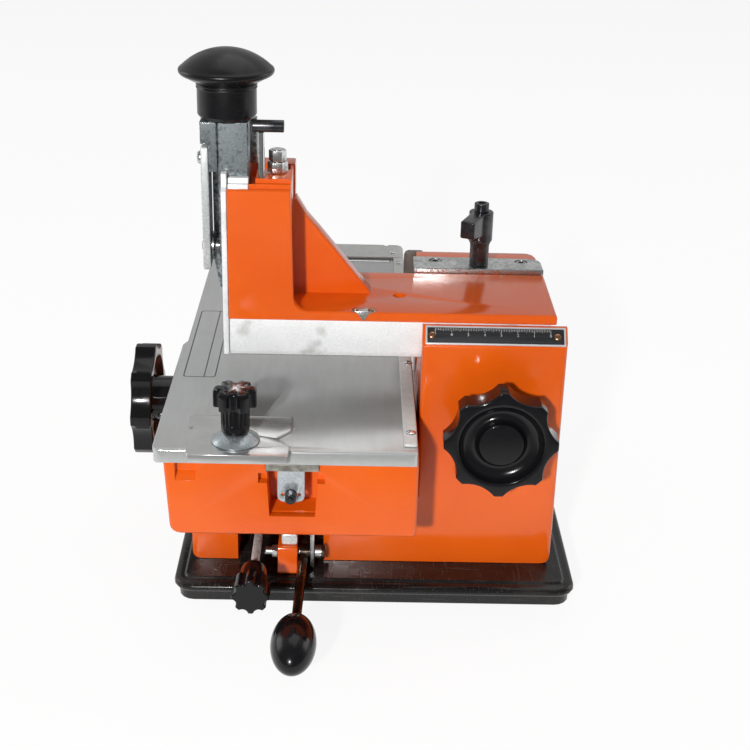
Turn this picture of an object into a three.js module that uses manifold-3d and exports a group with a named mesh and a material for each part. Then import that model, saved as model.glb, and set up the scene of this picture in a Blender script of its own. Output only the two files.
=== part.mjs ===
// Bench-top nameplate marking machine: a hand-pressed ram on a beam that slides left and right over a
// table that slides front to back. Millimetres, +X to the right, +Y to the back, +Z up. The loop before the
// export moves the machine so that it stands on the floor at Z = 0.
import * as THREE from "three";
import { mergeVertices } from "three/addons/utils/BufferGeometryUtils.js";
import Module from "manifold-3d";

const wasm = await Module();
wasm.setup();

// Running gap between pieces that touch or slide
const gap = 0.3;

// Base plate and feet
const base = { left: -127.3, right: 127.3, front: -29, back: 222, bottom: 16.8, top: 32, corner: 13 };
const foot = { radius: 9.5, floor: 7, left: -110, right: 98, front: 2, back: 202 };

// Main housing: a low bed under the table and a tower that carries the beam
const bed = { left: -117, back: 200, top: 80 };
const tower = { left: 25.5, right: 113.5, waist: 106, back: 133, deck: 193.5 };
const ledge = { front: 82.4, top: 198.5 };
const chamfer = { depth: 9.5, foot: 183 };
const slot = { left: -88, right: -33, top: 72, back: 62 };

// Beam, head and the machined parts on them
const beam = { left: -92, right: 107, front: 10, back: 82, bottom: 194.5, top: 200.5 };
const slide = { front: 12, back: 72, bottom: 170 };
const head = { right: -54.5, frontTop: 275.5, stepTop: 278.2, top: 281, back: 62 };
const gusset = { front: 42.7, back: 54.7, top: 259, reach: -6.7 };

// Ram and palm knob
const ram = { left: -97.5, right: -79.3, front: 20.5, back: 44, nose: 168.5, bottom: 219, top: 312.6 };
const arm = { left: -107.6, inner: -102.8, screwZ: 288.6, shaftZ: 234 };
const knob = { x: -92.4, y: 32, radius: 27.9, neckRadius: 17.4, rim: 340.6, apex: 353.4, crown: 38 };
const pin = { x: -71.9, y: 19.6, foot: 262, handleZ: 311.3, radius: 3.6, left: -77.1, right: -58.5 };

// Handwheels, pinions and racks
const beamWheel = { x: 72.7, z: 136, radius: 34.3, front: -38, depth: 15.5 };
const tableWheel = { y: 87.3, z: 105, radius: 38.5, outer: -161.8, depth: 13.5 };
const beamGear = { teeth: 20, module: 2.6, front: 46, back: 56 };
const tableGear = { teeth: 12, module: 2, left: -85, right: -75 };

// Carriage and table
const carriage = { left: -126, right: 23.2, front: -55, back: 227, bottom: 82.8, top: 137.6 };
const table = { left: -131.5, right: 22.5, front: -58.8, back: 307, top: 141, sheet: 3, lip: 9 };
const pocket = { left: -64, right: -37.2, flare: 2, bottom: 95.7, roof: 129 };
const rail = { x: [-95, -5], width: 10, top: 88.5, front: 6, back: 194 };

// Clamp for the nameplate
const clamp = { x: -83.6, y: -49.3, sheet: 1.6 };

// Spacing screw and feed lever in the bed slot
const spacing = { x: -74.6, z: 50.5, knobFront: -73.5, knobBack: -42, knobRadius: 11.6 };
const feed = { x: -44.8, pivotY: -8, pivotZ: 43.4, ballX: -48, ballY: -95.8, ballZ: 34 };

// Rear clamp bar and lever
const clampBar = { left: 22.6, right: 106.8, front: 82.5, back: 106, bottom: 198.8, top: 203.7 };
const lever = { x: 65, y: 92.3, foot: 204, shoulder: 221, top: 240 };

const colours = {
  orange: { color: 0xe8601a, roughness: 0.32, metalness: 0 },
  black: { color: 0x1d1e20, roughness: 0.3, metalness: 0 },
  rubber: { color: 0x18181a, roughness: 0.85, metalness: 0 },
  zinc: { color: 0xa7acac, roughness: 0.42, metalness: 0.9 },
  steel: { color: 0x8d9194, roughness: 0.35, metalness: 1 },
  sheet: { color: 0xa9adac, roughness: 0.45, metalness: 0.85 },
  bronze: { color: 0x3a2a22, roughness: 0.35, metalness: 0.7 },
};

// The origin lies under the middle of the machine's overall size
const middle = { x: -17.25, y: 92 };

const machine = new THREE.Group();

// Solids and booleans

function solidOf(geometry) {
  const bare = geometry.index ? geometry.clone() : geometry;
  const plain = new THREE.BufferGeometry();
  plain.setAttribute("position", bare.getAttribute("position").clone());
  if (bare.index) plain.setIndex(bare.index.clone());
  const merged = mergeVertices(plain, 1e-4);
  const source = merged.index.array;
  const kept = [];
  for (let i = 0; i < source.length; i += 3) {
    const [a, b, c] = [source[i], source[i + 1], source[i + 2]];
    if (a !== b && b !== c && a !== c) kept.push(a, b, c);
  }
  return new wasm.Manifold(
    new wasm.Mesh({
      numProp: 3,
      vertProperties: new Float32Array(merged.getAttribute("position").array),
      triVerts: new Uint32Array(kept),
    }),
  );
}

function geometryOf(solid) {
  const mesh = solid.getMesh();
  const geometry = new THREE.BufferGeometry();
  const points = new Float32Array(mesh.numVert * 3);
  for (let i = 0; i < mesh.numVert; i += 1) {
    for (let k = 0; k < 3; k += 1) {
      points[i * 3 + k] = mesh.vertProperties[i * mesh.numProp + k];
    }
  }
  geometry.setAttribute("position", new THREE.BufferAttribute(points, 3));
  geometry.setIndex(Array.from(mesh.triVerts));
  geometry.computeVertexNormals();
  return geometry;
}

function join(first, ...others) {
  let solid = solidOf(first);
  for (const other of others) solid = solid.add(solidOf(other));
  return geometryOf(solid);
}

function cut(first, ...others) {
  let solid = solidOf(first);
  for (const other of others) solid = solid.subtract(solidOf(other));
  return geometryOf(solid);
}

function piece(name, geometry, colour) {
  const mesh = new THREE.Mesh(geometry, new THREE.MeshStandardMaterial(colours[colour]));
  mesh.name = name;
  machine.add(mesh);
  return mesh;
}

// Outlines, in the plane of their first two axes

function polygon(points) {
  return new THREE.Shape(points.map(([x, y]) => new THREE.Vector2(x, y)));
}

// A polygon whose corners are rounded: each point is [x, y] or [x, y, radius]
function rounded(points, steps = 4) {
  const path = [];
  const count = points.length;
  points.forEach(([x, y, radius], i) => {
    if (!radius) {
      path.push([x, y]);
      return;
    }
    const here = new THREE.Vector2(x, y);
    const before = new THREE.Vector2(...points[(i + count - 1) % count].slice(0, 2));
    const after = new THREE.Vector2(...points[(i + 1) % count].slice(0, 2));
    const toBefore = before.sub(here).normalize();
    const toAfter = after.sub(here).normalize();
    const half = Math.acos(THREE.MathUtils.clamp(toBefore.dot(toAfter), -1, 1)) / 2;
    const inwards = toBefore.clone().add(toAfter).normalize();
    const centre = inwards.multiplyScalar(radius / Math.sin(half)).add(here);
    const start = toBefore.clone().multiplyScalar(radius / Math.tan(half)).add(here).sub(centre);
    const end = toAfter.clone().multiplyScalar(radius / Math.tan(half)).add(here).sub(centre);
    const from = Math.atan2(start.y, start.x);
    let turn = Math.atan2(end.y, end.x) - from;
    if (turn > Math.PI) turn -= 2 * Math.PI;
    if (turn < -Math.PI) turn += 2 * Math.PI;
    for (let k = 0; k <= steps; k += 1) {
      const angle = from + (turn * k) / steps;
      path.push([centre.x + radius * Math.cos(angle), centre.y + radius * Math.sin(angle)]);
    }
  });
  return polygon(path);
}

function rectangle(x0, x1, y0, y1, radius = 0, steps = 4) {
  return rounded([[x0, y0, radius], [x1, y0, radius], [x1, y1, radius], [x0, y1, radius]], steps);
}

function circle(x, y, radius, steps = 24) {
  const points = [];
  for (let i = 0; i < steps; i += 1) {
    const angle = (2 * Math.PI * i) / steps;
    points.push([x + radius * Math.cos(angle), y + radius * Math.sin(angle)]);
  }
  return polygon(points);
}

function hexagon(x, y, acrossFlats) {
  return circle(x, y, acrossFlats / Math.sqrt(3), 6);
}

// A round outline with hollows scooped between short flat tips
function scalloped(radius, hollow, lobes, steps = 5) {
  const points = [];
  const count = lobes * steps;
  for (let i = 0; i < count; i += 1) {
    const angle = (2 * Math.PI * (i + 0.5)) / count;
    const rise = 1.12 * (1 - Math.abs(Math.sin((angle * lobes) / 2)) ** 1.3);
    const r = radius - hollow * (1 - Math.min(rise, 1));
    points.push([r * Math.cos(angle), r * Math.sin(angle)]);
  }
  return polygon(points);
}

// Extrusions along the three axes, with an optional rounded edge on both ends

function extrude(outline, depth, edge, edgeSteps) {
  return new THREE.ExtrudeGeometry(outline, {
    depth: depth - 2 * edge,
    steps: 1,
    bevelEnabled: edge > 0,
    bevelThickness: edge,
    bevelSize: edge,
    bevelOffset: -edge,
    bevelSegments: edgeSteps,
    curveSegments: 8,
  }).translate(0, 0, edge);
}

function alongZ(outline, z0, z1, edge = 0, edgeSteps = 1) {
  return extrude(outline, z1 - z0, edge, edgeSteps).translate(0, 0, z0);
}

// The outline lies in X and Z
function alongY(outline, y0, y1, edge = 0, edgeSteps = 1) {
  const turn = new THREE.Matrix4().makeBasis(
    new THREE.Vector3(1, 0, 0),
    new THREE.Vector3(0, 0, 1),
    new THREE.Vector3(0, -1, 0),
  );
  return extrude(outline, y1 - y0, edge, edgeSteps).applyMatrix4(turn).translate(0, y1, 0);
}

// The outline lies in Y and Z
function alongX(outline, x0, x1, edge = 0, edgeSteps = 1) {
  const turn = new THREE.Matrix4().makeBasis(
    new THREE.Vector3(0, 1, 0),
    new THREE.Vector3(0, 0, 1),
    new THREE.Vector3(1, 0, 0),
  );
  return extrude(outline, x1 - x0, edge, edgeSteps).applyMatrix4(turn).translate(x0, 0, 0);
}

function block(x0, x1, y0, y1, z0, z1, edge = 0) {
  return alongZ(rectangle(x0, x1, y0, y1), z0, z1, edge);
}

// Revolved pieces: the profile is a list of [radius, height] that starts and ends on the axis, upwards

function turned(profile, steps = 24) {
  const points = profile.map(([r, h]) => new THREE.Vector2(r, h));
  return new THREE.LatheGeometry(points, steps);
}

function turnedZ(profile, x, y, steps) {
  return turned(profile, steps).rotateX(Math.PI / 2).translate(x, y, 0);
}

// Height runs along +X
function turnedX(profile, y, z, steps) {
  return turned(profile, steps).rotateZ(-Math.PI / 2).translate(0, y, z);
}

// Height runs along +Y
function turnedY(profile, x, z, steps) {
  return turned(profile, steps).translate(x, 0, z);
}

function rod(r, h0, h1, chamferSize = 0) {
  if (!chamferSize) return [[0, h0], [r, h0], [r, h1], [0, h1]];
  const c = chamferSize;
  return [[0, h0], [r - c, h0], [r, h0 + c], [r, h1 - c], [r - c, h1], [0, h1]];
}

// Gears and racks

// How much wider than at the pitch circle a tooth's involute flank is, as an angle
function flankAngle(radius, pitch) {
  const pressure = THREE.MathUtils.degToRad(20);
  const baseRadius = pitch * Math.cos(pressure);
  const involute = (angle) => Math.tan(angle) - angle;
  return involute(pressure) - involute(Math.acos(baseRadius / Math.max(radius, baseRadius)));
}

function gearOutline(teeth, module, startAngle, play = 0.12) {
  const pitch = (teeth * module) / 2;
  const outer = pitch + 0.9 * module;
  const root = pitch - 1.2 * module;
  const atPitch = Math.PI / (2 * teeth) - play / pitch;
  const points = [];
  for (let i = 0; i < teeth; i += 1) {
    const centre = startAngle + (2 * Math.PI * i) / teeth;
    const flank = [root, pitch, outer].map((r) => [r, atPitch + flankAngle(r, pitch)]);
    const polar = (r, angle) => [r * Math.cos(angle), r * Math.sin(angle)];
    for (const [r, half] of flank) points.push(polar(r, centre - half));
    for (const [r, half] of flank.reverse()) points.push(polar(r, centre + half));
  }
  return points;
}

// A rack outline along the first axis: teeth point to `side` (+1 up, -1 down) from the bar
function rackOutline(module, from, to, pitchLine, backLine, side, toothAt, play = 0.12) {
  const pitch = Math.PI * module;
  const slope = Math.tan(THREE.MathUtils.degToRad(20));
  const tip = pitchLine + side * 0.9 * module;
  const root = pitchLine - side * 1.2 * module;
  const tipHalf = pitch / 4 - play - 0.9 * module * slope;
  const rootHalf = pitch / 4 - play + 1.2 * module * slope;
  const points = [[from, backLine], [from, root]];
  const first = Math.ceil((from + rootHalf - toothAt) / pitch);
  for (let i = first; toothAt + i * pitch + rootHalf < to; i += 1) {
    const centre = toothAt + i * pitch;
    points.push([centre - rootHalf, root], [centre - tipHalf, tip], [centre + tipHalf, tip]);
    points.push([centre + rootHalf, root]);
  }
  points.push([to, root], [to, backLine]);
  return points;
}

// A closed skin over a stack of rings that all have the same number of points
function loft(rings) {
  const count = rings[0].length;
  const points = rings.flat();
  const faces = [];
  for (let k = 0; k + 1 < rings.length; k += 1) {
    for (let i = 0; i < count; i += 1) {
      const next = (i + 1) % count;
      const [a, b] = [k * count + i, k * count + next];
      const [c, d] = [a + count, b + count];
      faces.push(a, b, d, a, d, c);
    }
  }
  const last = (rings.length - 1) * count;
  for (let i = 1; i + 1 < count; i += 1) {
    faces.push(0, i + 1, i);
    faces.push(last, last + i, last + i + 1);
  }
  const geometry = new THREE.BufferGeometry();
  geometry.setAttribute("position", new THREE.Float32BufferAttribute(points.flatMap((p) => p), 3));
  geometry.setIndex(faces);
  geometry.computeVertexNormals();
  return geometry;
}

function roundedRing(x0, x1, y0, y1, radius, z) {
  return rectangle(x0, x1, y0, y1, radius, 4).getPoints(1).slice(0, 20).map((p) => [p.x, p.y, z]);
}

// Base plate: moulded tray with a plain band, a groove and a rounded bead round the flat top

function basePlate() {
  const edgeProfile = [
    [4.4, base.bottom], [3.4, base.bottom + 1], [3.2, 24.2], [1.2, 24.8], [0, 26.6], [0.6, 28.8],
    [2.6, 30.2],
  ];
  edgeProfile.push([6.6, 30.4], [7.8, 32]);
  const rings = edgeProfile.map(([inset, z]) =>
    roundedRing(
      base.left + inset, base.right - inset, base.front + inset, base.back - inset, base.corner - inset, z,
    ),
  );
  const pockets = [];
  for (const [x0, x1] of [[-94, -8], [8, 82]]) {
    pockets.push(alongZ(rectangle(x0, x1, 14, 190, 8, 2), base.bottom - 1, base.bottom + 8));
  }
  piece("base_plate", cut(loft(rings), ...pockets), "black");
}

function rubberFeet() {
  const [low, top] = [foot.floor, base.bottom - gap];
  const r = foot.radius;
  const profile = [
    [0, low + 2], [3, low + 2], [3, low], [r - 1.6, low], [r, low + 1.4], [r - 0.8, top], [0, top],
  ];
  for (const [x, side] of [[foot.left, "left"], [foot.right, "right"]]) {
    piece(`rubber_foot_front_${side}`, turnedZ(profile, x, foot.front, 14), "rubber");
    piece(`rubber_foot_rear_${side}`, turnedZ(profile, x, foot.back, 14), "rubber");
  }
}

// Main housing

function slideOutline(play) {
  const rise = play > 0 ? 30 : 0;
  const top = beam.bottom - gap + rise;
  return polygon([
    [slide.front - play, top],
    [slide.front - play, slide.bottom + 4.2 - play * 0.4],
    [slide.front + 2.2 - play * 0.4, slide.bottom - play],
    [slide.back - 3.5 + play * 0.4, slide.bottom - play],
    [slide.back + play, slide.bottom + 3.5 - play * 0.4],
    [slide.back + play, top],
  ]);
}

function mainHousing() {
  const foot0 = base.top + gap;
  const side = rounded([
    [0, foot0], [tower.back, foot0], [tower.back, ledge.top, 3], [ledge.front, ledge.top],
    [ledge.front, tower.deck], [chamfer.depth, tower.deck], [0, chamfer.foot, 2],
  ]);
  const plan = rounded([
    [tower.left, 0, 2], [tower.right, 0, 3], [tower.right, 18, 3], [tower.waist, 23, 4],
    [tower.waist, tower.back, 12], [tower.left, tower.back, 4],
  ], 3);
  const front = rounded([
    [tower.left, foot0], [tower.right, foot0, 6], [tower.right, ledge.top + 1], [tower.left, ledge.top + 1],
  ], 3);
  const bedFront = rounded([
    [bed.left, foot0, 5], [tower.left + 6, foot0], [tower.left + 6, bed.top], [bed.left, bed.top, 2],
  ]);
  let solid = solidOf(alongX(side, tower.left - 1, tower.right + 1));
  solid = solid.intersect(solidOf(alongZ(plan, 0, 250)));
  solid = solid.intersect(solidOf(alongY(front, -5, tower.back + 5)));
  solid = solid.add(solidOf(alongY(bedFront, 0, tower.back - 8)));
  const bedRear = rounded([
    [bed.left, foot0, 5], [tower.left, foot0, 5], [tower.left, bed.top, 2], [bed.left, bed.top, 2],
  ]);
  solid = solid.add(solidOf(alongY(bedRear, tower.back - 10, bed.back)));
  const gear = (beamGear.teeth * beamGear.module) / 2;
  const cuts = [
    alongX(slideOutline(0.4), tower.left - 5, tower.right + 5),
    block(tower.left - 5, tower.right + 5, beamGear.front, beamGear.back, beamWheel.z + gear - 3, 180),
    alongY(circle(beamWheel.x, beamWheel.z, gear + 3.4, 24), beamGear.front - 1, beamGear.back + 1),
    alongY(circle(beamWheel.x, beamWheel.z, 9.1, 20), -1, 14),
    alongY(circle(beamWheel.x, beamWheel.z, 6.4, 16), 5, 72),
    alongY(rectangle(slot.left, slot.right, base.top - 20, slot.top, 4, 2), -5, slot.back),
    alongY(circle(spacing.x, spacing.z, 3.1, 12), slot.back - 5, slot.back + 30),
    turnedZ(rod(4.4, 150, 230), lever.x, lever.y, 16),
  ];
  for (const part of cuts) solid = solid.subtract(solidOf(part));
  piece("main_housing", geometryOf(solid), "orange");
}

// The rails are screwed on the bed; the carriage rides on them
function bedRails() {
  for (const [i, x] of rail.x.entries()) {
    const half = rail.width / 2;
    const outline = rectangle(x - half, x + half, bed.top + gap, rail.top, 0.8, 1);
    piece(["bed_rail_left", "bed_rail_right"][i], alongY(outline, rail.front, rail.back), "steel");
  }
}

function bedRack() {
  const radius = (tableGear.teeth * tableGear.module) / 2;
  const pitchLine = tableWheel.z - radius;
  const outline = rackOutline(tableGear.module, 16, 140, pitchLine, bed.top + gap, 1, tableWheel.y);
  piece("bed_rack", alongX(polygon(outline), tableGear.left + 1, tableGear.right - 1), "steel");
}

// Scale on the chamfer: a folded holder with a dark strip let into it
function scale() {
  const slope = Math.atan2(tower.deck - chamfer.foot, chamfer.depth);
  const length = 85;
  const lie = (geometry, lift) =>
    geometry
      .rotateX(slope)
      .translate(27.2 + length / 2, chamfer.depth / 2, (tower.deck + chamfer.foot) / 2)
      .translate(0, -Math.sin(slope) * lift, Math.cos(slope) * lift);
  const width = 12.4;
  const frame = cut(
    alongZ(rectangle(-length / 2, length / 2, -width / 2, width / 2, 0.8, 2), 0, 1.4),
    alongZ(rectangle(-length / 2 + 1.8, length / 2 - 1.8, -width / 2 + 1.8, width / 2 - 1.8), 0.5, 3),
  );
  const strip = cut(
    alongZ(rectangle(-length / 2 + 2.1, length / 2 - 2.1, -width / 2 + 2.1, width / 2 - 2.1), 0.8, 1.3),
    turnedZ(rod(0.9, 0, 3), -length / 2 + 4, 0, 10),
    turnedZ(rod(0.9, 0, 3), length / 2 - 5, 0, 10),
  );
  piece("scale_holder", lie(frame, gap), "zinc");
  piece("scale_strip", lie(strip, gap), "black");
}

// Dark guard plate on the tower's back, beside the table
function rearGuard() {
  const outline = rounded([[17.4, 150, 2], [31, 150, 2], [31, 197.4, 2], [17.4, 197.4, 3]], 2);
  piece("rear_guard", alongY(outline, tower.back + gap, tower.back + 4), "black");
}

// Rear clamp bar and its lever

function clampBarPieces() {
  const plan = rounded([
    [clampBar.left, clampBar.front], [clampBar.right, clampBar.front + 0.6],
    [clampBar.right, clampBar.back - 1, 7],
    [clampBar.left, clampBar.back],
  ], 3);
  const screwX = [36.8, 93.6];
  const screwY = 98.5;
  const holes = screwX.map((x) => turnedZ(rod(4.4, clampBar.bottom + 1.6, 230), x, screwY, 18));
  holes.push(turnedZ(rod(4.4, 150, 230), lever.x, lever.y, 16));
  piece("rear_clamp_bar", cut(alongZ(plan, clampBar.bottom, clampBar.top, 0.5), ...holes), "zinc");
  for (const [i, x] of screwX.entries()) {
    const head = turnedZ(rod(3.6, clampBar.bottom + 1.9, clampBar.top - 0.3, 0.4), x, screwY, 16);
    const socket = alongZ(hexagon(x, screwY, 3.4), clampBar.top - 2.2, clampBar.top + 1);
    piece(["clamp_bar_screw_left", "clamp_bar_screw_right"][i], cut(head, socket), "steel");
  }
}

function clampLever() {
  const { x, y, foot: low, shoulder, top } = lever;
  piece("clamp_stud", turnedZ(rod(4, 170, low - gap, 0.8), x, y, 16), "steel");
  const stem = turnedZ(
    [
      [0, low], [5.8, low], [6.2, low + 0.5], [6.2, shoulder - 4], [7.9, shoulder], [7.9, top - 0.8],
      [7.1, top], [0, top],
    ],
    x, y, 20,
  );
  const side = rounded([[-26.5, 229, 1], [0, 223], [0, top + 0.4], [-26.5, top, 1]], 2);
  const arm = alongX(side, -4.7, 4.7, 0.8).rotateZ(THREE.MathUtils.degToRad(-22.8)).translate(x - 0.4, y, 0);
  const bore = turnedZ(rod(4.6, top - 3, top + 5), x, y, 16);
  piece("clamp_lever", cut(join(stem, arm), bore), "black");
  const headProfile = [
    [0, top - 2.7], [4.2, top - 2.7], [4.2, top + 0.7], [4.8, top + 0.7], [4.8, top + 4.8],
    [4, top + 5.6], [0, top + 5.6],
  ];
  const head = turnedZ(headProfile, x, y, 16);
  const socket = alongZ(hexagon(x, y, 4.8), top + 2.4, top + 7);
  piece("clamp_lever_screw", cut(head, socket), "black");
}

// Beam

function beamCasting() {
  const front = rounded([
    [beam.left, beam.bottom], [beam.right, beam.bottom, 1], [beam.right, beam.top, 1.5],
    [head.right + 1.9, beam.top, 8],
    [head.right, head.frontTop, 1], [beam.left, head.frontTop, 1],
  ], 3);
  let solid = solidOf(alongY(front, beam.front, beam.front + 6, 0.8));
  const plate = rounded([
    [beam.left, beam.bottom], [beam.right, beam.bottom, 1], [beam.right, beam.top, 1.5],
    [beam.left, beam.top],
  ]);
  solid = solid.add(solidOf(alongY(plate, beam.front + 2, beam.back, 0.8)));
  const upright = (z) =>
    rounded(
      [[beam.left, beam.top - 1], [head.right, beam.top - 1], [head.right, z, 1], [beam.left, z, 1]], 2,
    );
  const rear = rounded([
    [beam.left, beam.top - 1], [head.right + 1.1, beam.top - 1], [head.right + 1.1, head.top, 1],
    [beam.left, head.top, 1],
  ], 2);
  solid = solid.add(solidOf(alongY(upright(head.stepTop), beam.front + 3.5, beam.front + 7)));
  solid = solid.add(solidOf(alongY(upright(head.top - 0.3), beam.front + 6.5, head.back)));
  solid = solid.add(solidOf(alongY(rear, gusset.front + 6, head.back)));
  const web = rounded([
    [head.right - 5, beam.top - 1], [gusset.reach + 1, beam.top - 1], [gusset.reach, beam.top + 1.5],
    [-38.7, 241.6, 10], [-46, 250], [head.right + 2, gusset.top + 2], [head.right - 5, gusset.top + 2],
  ], 3);
  solid = solid.add(solidOf(alongY(web, gusset.front, gusset.back, 0.6)));
  const cuts = [
    block(beam.left - 5, ram.right + gap, ram.front - gap, ram.back + gap, 201.5, 300),
    block(beam.left - 5, ram.right + gap, 12.6, ram.front, 203, 300),
    block(ram.right - 1, -75.3, ram.back - 8, 50, 267, 300),
    block(ram.right - 1, -75.3, 13.8, ram.back - 7, 275.8, 300),
    block(-91.6, -80.4, ram.back - 1, 58.6, 245.5, 300),
    turnedZ(rod(6, 205, 260), -86, 52, 16),
    turnedZ(rod(5.4, 150, 230), -86, knob.y, 14),
    block(-76, -55.8, 37, 49, 262, 300),
    turnedZ(rod(3.9, 150, 230), 11.8, 40, 16),
    turnedZ(rod(2.4, pin.foot - 3, 300), pin.x, pin.y, 12),
    turnedZ(rod(3.4, 250, 300), -63, 31, 12),
    block(beam.left - 5, beam.left + gap, beam.front - 1, head.back + 1, 150, 300),
  ];
  for (const part of cuts) solid = solid.subtract(solidOf(part));
  piece("beam_casting", geometryOf(solid), "orange");
}

function dovetailSlide() {
  const holes = [turnedZ(rod(5.4, 150, 230), -86, knob.y, 14), turnedZ(rod(3.9, 150, 230), 11.8, 40, 16)];
  piece("dovetail_slide", cut(alongX(slideOutline(0), beam.left + gap, 104, 0.5), ...holes), "zinc");
}

// The end plate closes the head's left side and leaves the ram's way open
function endPlate() {
  const outline = rounded([
    [beam.front + 0.5, 171, 1], [head.back - 0.5, 171, 1], [head.back - 0.5, 279, 1], [ram.back + gap, 279],
    [ram.back + gap, 203], [ram.front - gap, 203], [ram.front - gap, 284, 1], [beam.front + 3.5, 284, 1],
    [beam.front + 3.5, 276], [beam.front + 0.5, 274],
  ], 2);
  piece("end_plate", alongX(outline, beam.left - 3.3, beam.left, 0.4), "zinc");
}

function frontGib() {
  const outline = polygon([
    [12.9, 203.4], [ram.front - gap, 203.4], [ram.front - gap, 281], [16, 281], [16, 278], [12.9, 278],
  ]);
  piece("front_gib", alongX(outline, beam.left + 0.6, ram.right, 0.3), "zinc");
}

function beamRack() {
  const radius = (beamGear.teeth * beamGear.module) / 2;
  const pitchLine = beamWheel.z + radius;
  const outline = rackOutline(beamGear.module, -46, 90, pitchLine, slide.bottom - gap, -1, beamWheel.x);
  piece("beam_rack", alongY(polygon(outline), beamGear.front + 1, beamGear.back - 1), "steel");
}

function pointer() {
  const x = -10.6;
  const tip = polygon([[x, 195.2], [x + 4.4, beam.top + 1], [x - 4.4, beam.top + 1]]);
  const ears = rectangle(x - 7.4, x + 7.4, 8.8, 13.4, 2.2, 2);
  const tab = polygon([[x - 4.4, 8.8], [x + 4.4, 8.8], [x + 3.6, 15.6], [x - 3.6, 15.6]]);
  const flat = join(
    alongZ(ears, beam.top + gap, beam.top + 1.1), alongZ(tab, beam.top + gap, beam.top + 1.1),
  );
  piece("pointer", join(alongY(tip, 8.8, 9.6), flat), "zinc");
}

// Lock bolt and nut on the head's top
function headBolt() {
  const [x, y] = [-63, 31];
  const boltHead = alongZ(hexagon(x, y, 9.2), 288, 294.6, 0.5);
  piece("head_bolt", join(boltHead, turnedZ(rod(3, 252, 289), x, y, 12)), "zinc");
  const nut = cut(
    alongZ(hexagon(x, y, 10.6), head.top + gap, 287.6, 0.6), turnedZ(rod(3.4, 270, 300), x, y, 12),
  );
  piece("head_lock_nut", nut, "zinc");
}

// Lock pin with its T handle
function lockPin() {
  const { x, y, foot: low, handleZ, radius, left, right } = pin;
  piece("lock_pin", turnedZ(rod(2.05, low, handleZ - radius, 0.4), x, y, 12), "steel");
  const ends = [
    [0, left], [radius - 0.6, left], [radius, left + 0.6], [radius, right - 0.6], [radius - 0.6, right],
  ];
  const bar = turnedX([...ends, [0, right]], y, handleZ, 16);
  piece("lock_pin_handle", cut(bar, turnedZ(rod(2.4, handleZ - 12, handleZ - 1.8), x, y, 12)), "black");
}

// Ram

function ramPieces() {
  const { left, right, front, back, bottom, top } = ram;
  const body = rounded([[left, front, 0.8], [right, front, 0.8], [right, back, 0.8], [left, back, 0.8]], 1);
  const lug = block(-91, -81, back - 2, 58, 262, 270);
  const flange = block(right - 1, right + 3.6, back - 6, back, 284, top - 1.5);
  const nose = turnedZ(
    [[0, ram.nose], [3.6, ram.nose], [3.6, 173], [5, 174.4], [5, 222], [0, 222]], -86, knob.y, 14,
  );
  const shaftHole = turnedX(rod(3.3, left - 1, -84), knob.y, arm.shaftZ, 16);
  piece("ram_slide", cut(join(alongZ(body, bottom, top, 0.4), lug, flange, nose), shaftHole), "zinc");
  const { left: outer, inner, screwZ, shaftZ } = arm;
  const blockFront = polygon([
    [outer, 299.5], [inner, 299.5], [inner, 283], [left - gap, 283], [left - gap, top], [outer, top],
  ]);
  const leg = polygon([[inner, 284], [inner, 221], [-99.5, 203.6], [left - gap, 203.6], [left - gap, 284]]);
  const bore = turnedX(rod(2.3, -104, -99), knob.y, screwZ, 12);
  const sideBlock = join(alongY(blockFront, front, back, 0.5), alongY(leg, back - 3, back - 0.2));
  piece("ram_side_block", cut(sideBlock, bore), "zinc");
  const plate = rounded([
    [front + 0.5, 297.4, 1.5], [back - 3.4, 297.4, 4], [back - 3.4, 223, 6], [front + 0.5, 221, 3],
  ], 3);
  const holes = [
    turnedX(rod(2.4, -110, -100), knob.y, screwZ, 12),
    turnedX(rod(3.3, -110, -100), knob.y, shaftZ, 16),
  ];
  piece("arm_plate", cut(alongX(plate, outer, inner - gap, 0.5), ...holes), "zinc");
  const screwEnds = [
    [0, outer - 3], [2.4, outer - 2.8], [3.9, outer - 1.4], [3.9, outer - gap], [2, outer - gap],
  ];
  piece("arm_screw", turnedX([...screwEnds, [2, -99.5], [0, -99.5]], knob.y, screwZ, 14), "zinc");
  const shaft = [
    [0, -109], [3, -109], [3, inner], [8.6, inner], [8.6, -101], [4.4, -101], [4.4, -98.6], [3, -98.6],
  ];
  piece("cross_shaft", turnedX([...shaft, [3, -85], [0, -85]], knob.y, shaftZ, 14), "steel");
}

// Palm knob: a shallow domed cap with a thin rim on a stout neck
function palmKnob() {
  const { radius: r, neckRadius, rim, apex, crown } = knob;
  const neck = [
    [neckRadius - 2.6, ram.top + gap], [neckRadius, 315.4], [neckRadius, 332.6], [neckRadius + 2.2, 334],
  ];
  const under = [[r - 3.6, 337.2], [r - 0.5, 339.2], [r, rim], [r - 0.5, rim + 1.1]];
  const dome = [0.78, 0.6, 0.4, 0.2].map((t) => [r * t, apex - crown + Math.sqrt(crown ** 2 - (r * t) ** 2)]);
  const profile = [[0, ram.top + gap], ...neck, ...under, ...dome, [0, apex]];
  piece("palm_knob", turnedZ(profile, knob.x, knob.y, 22), "black");
}

// A wire wound evenly round the Z axis
function coil(x, y, radius, wire, z0, z1, turns, stepsPerTurn, sides) {
  const rings = [];
  const count = turns * stepsPerTurn;
  for (let i = 0; i <= count; i += 1) {
    const angle = (2 * Math.PI * i) / stepsPerTurn;
    const z = z0 + wire + ((z1 - z0 - 2 * wire) * i) / count;
    const ring = [];
    for (let k = 0; k < sides; k += 1) {
      const around = (-2 * Math.PI * k) / sides;
      const r = radius + wire * Math.cos(around);
      ring.push([x + r * Math.cos(angle), y + r * Math.sin(angle), z + wire * Math.sin(around)]);
    }
    rings.push(ring);
  }
  return loft(rings);
}

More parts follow.
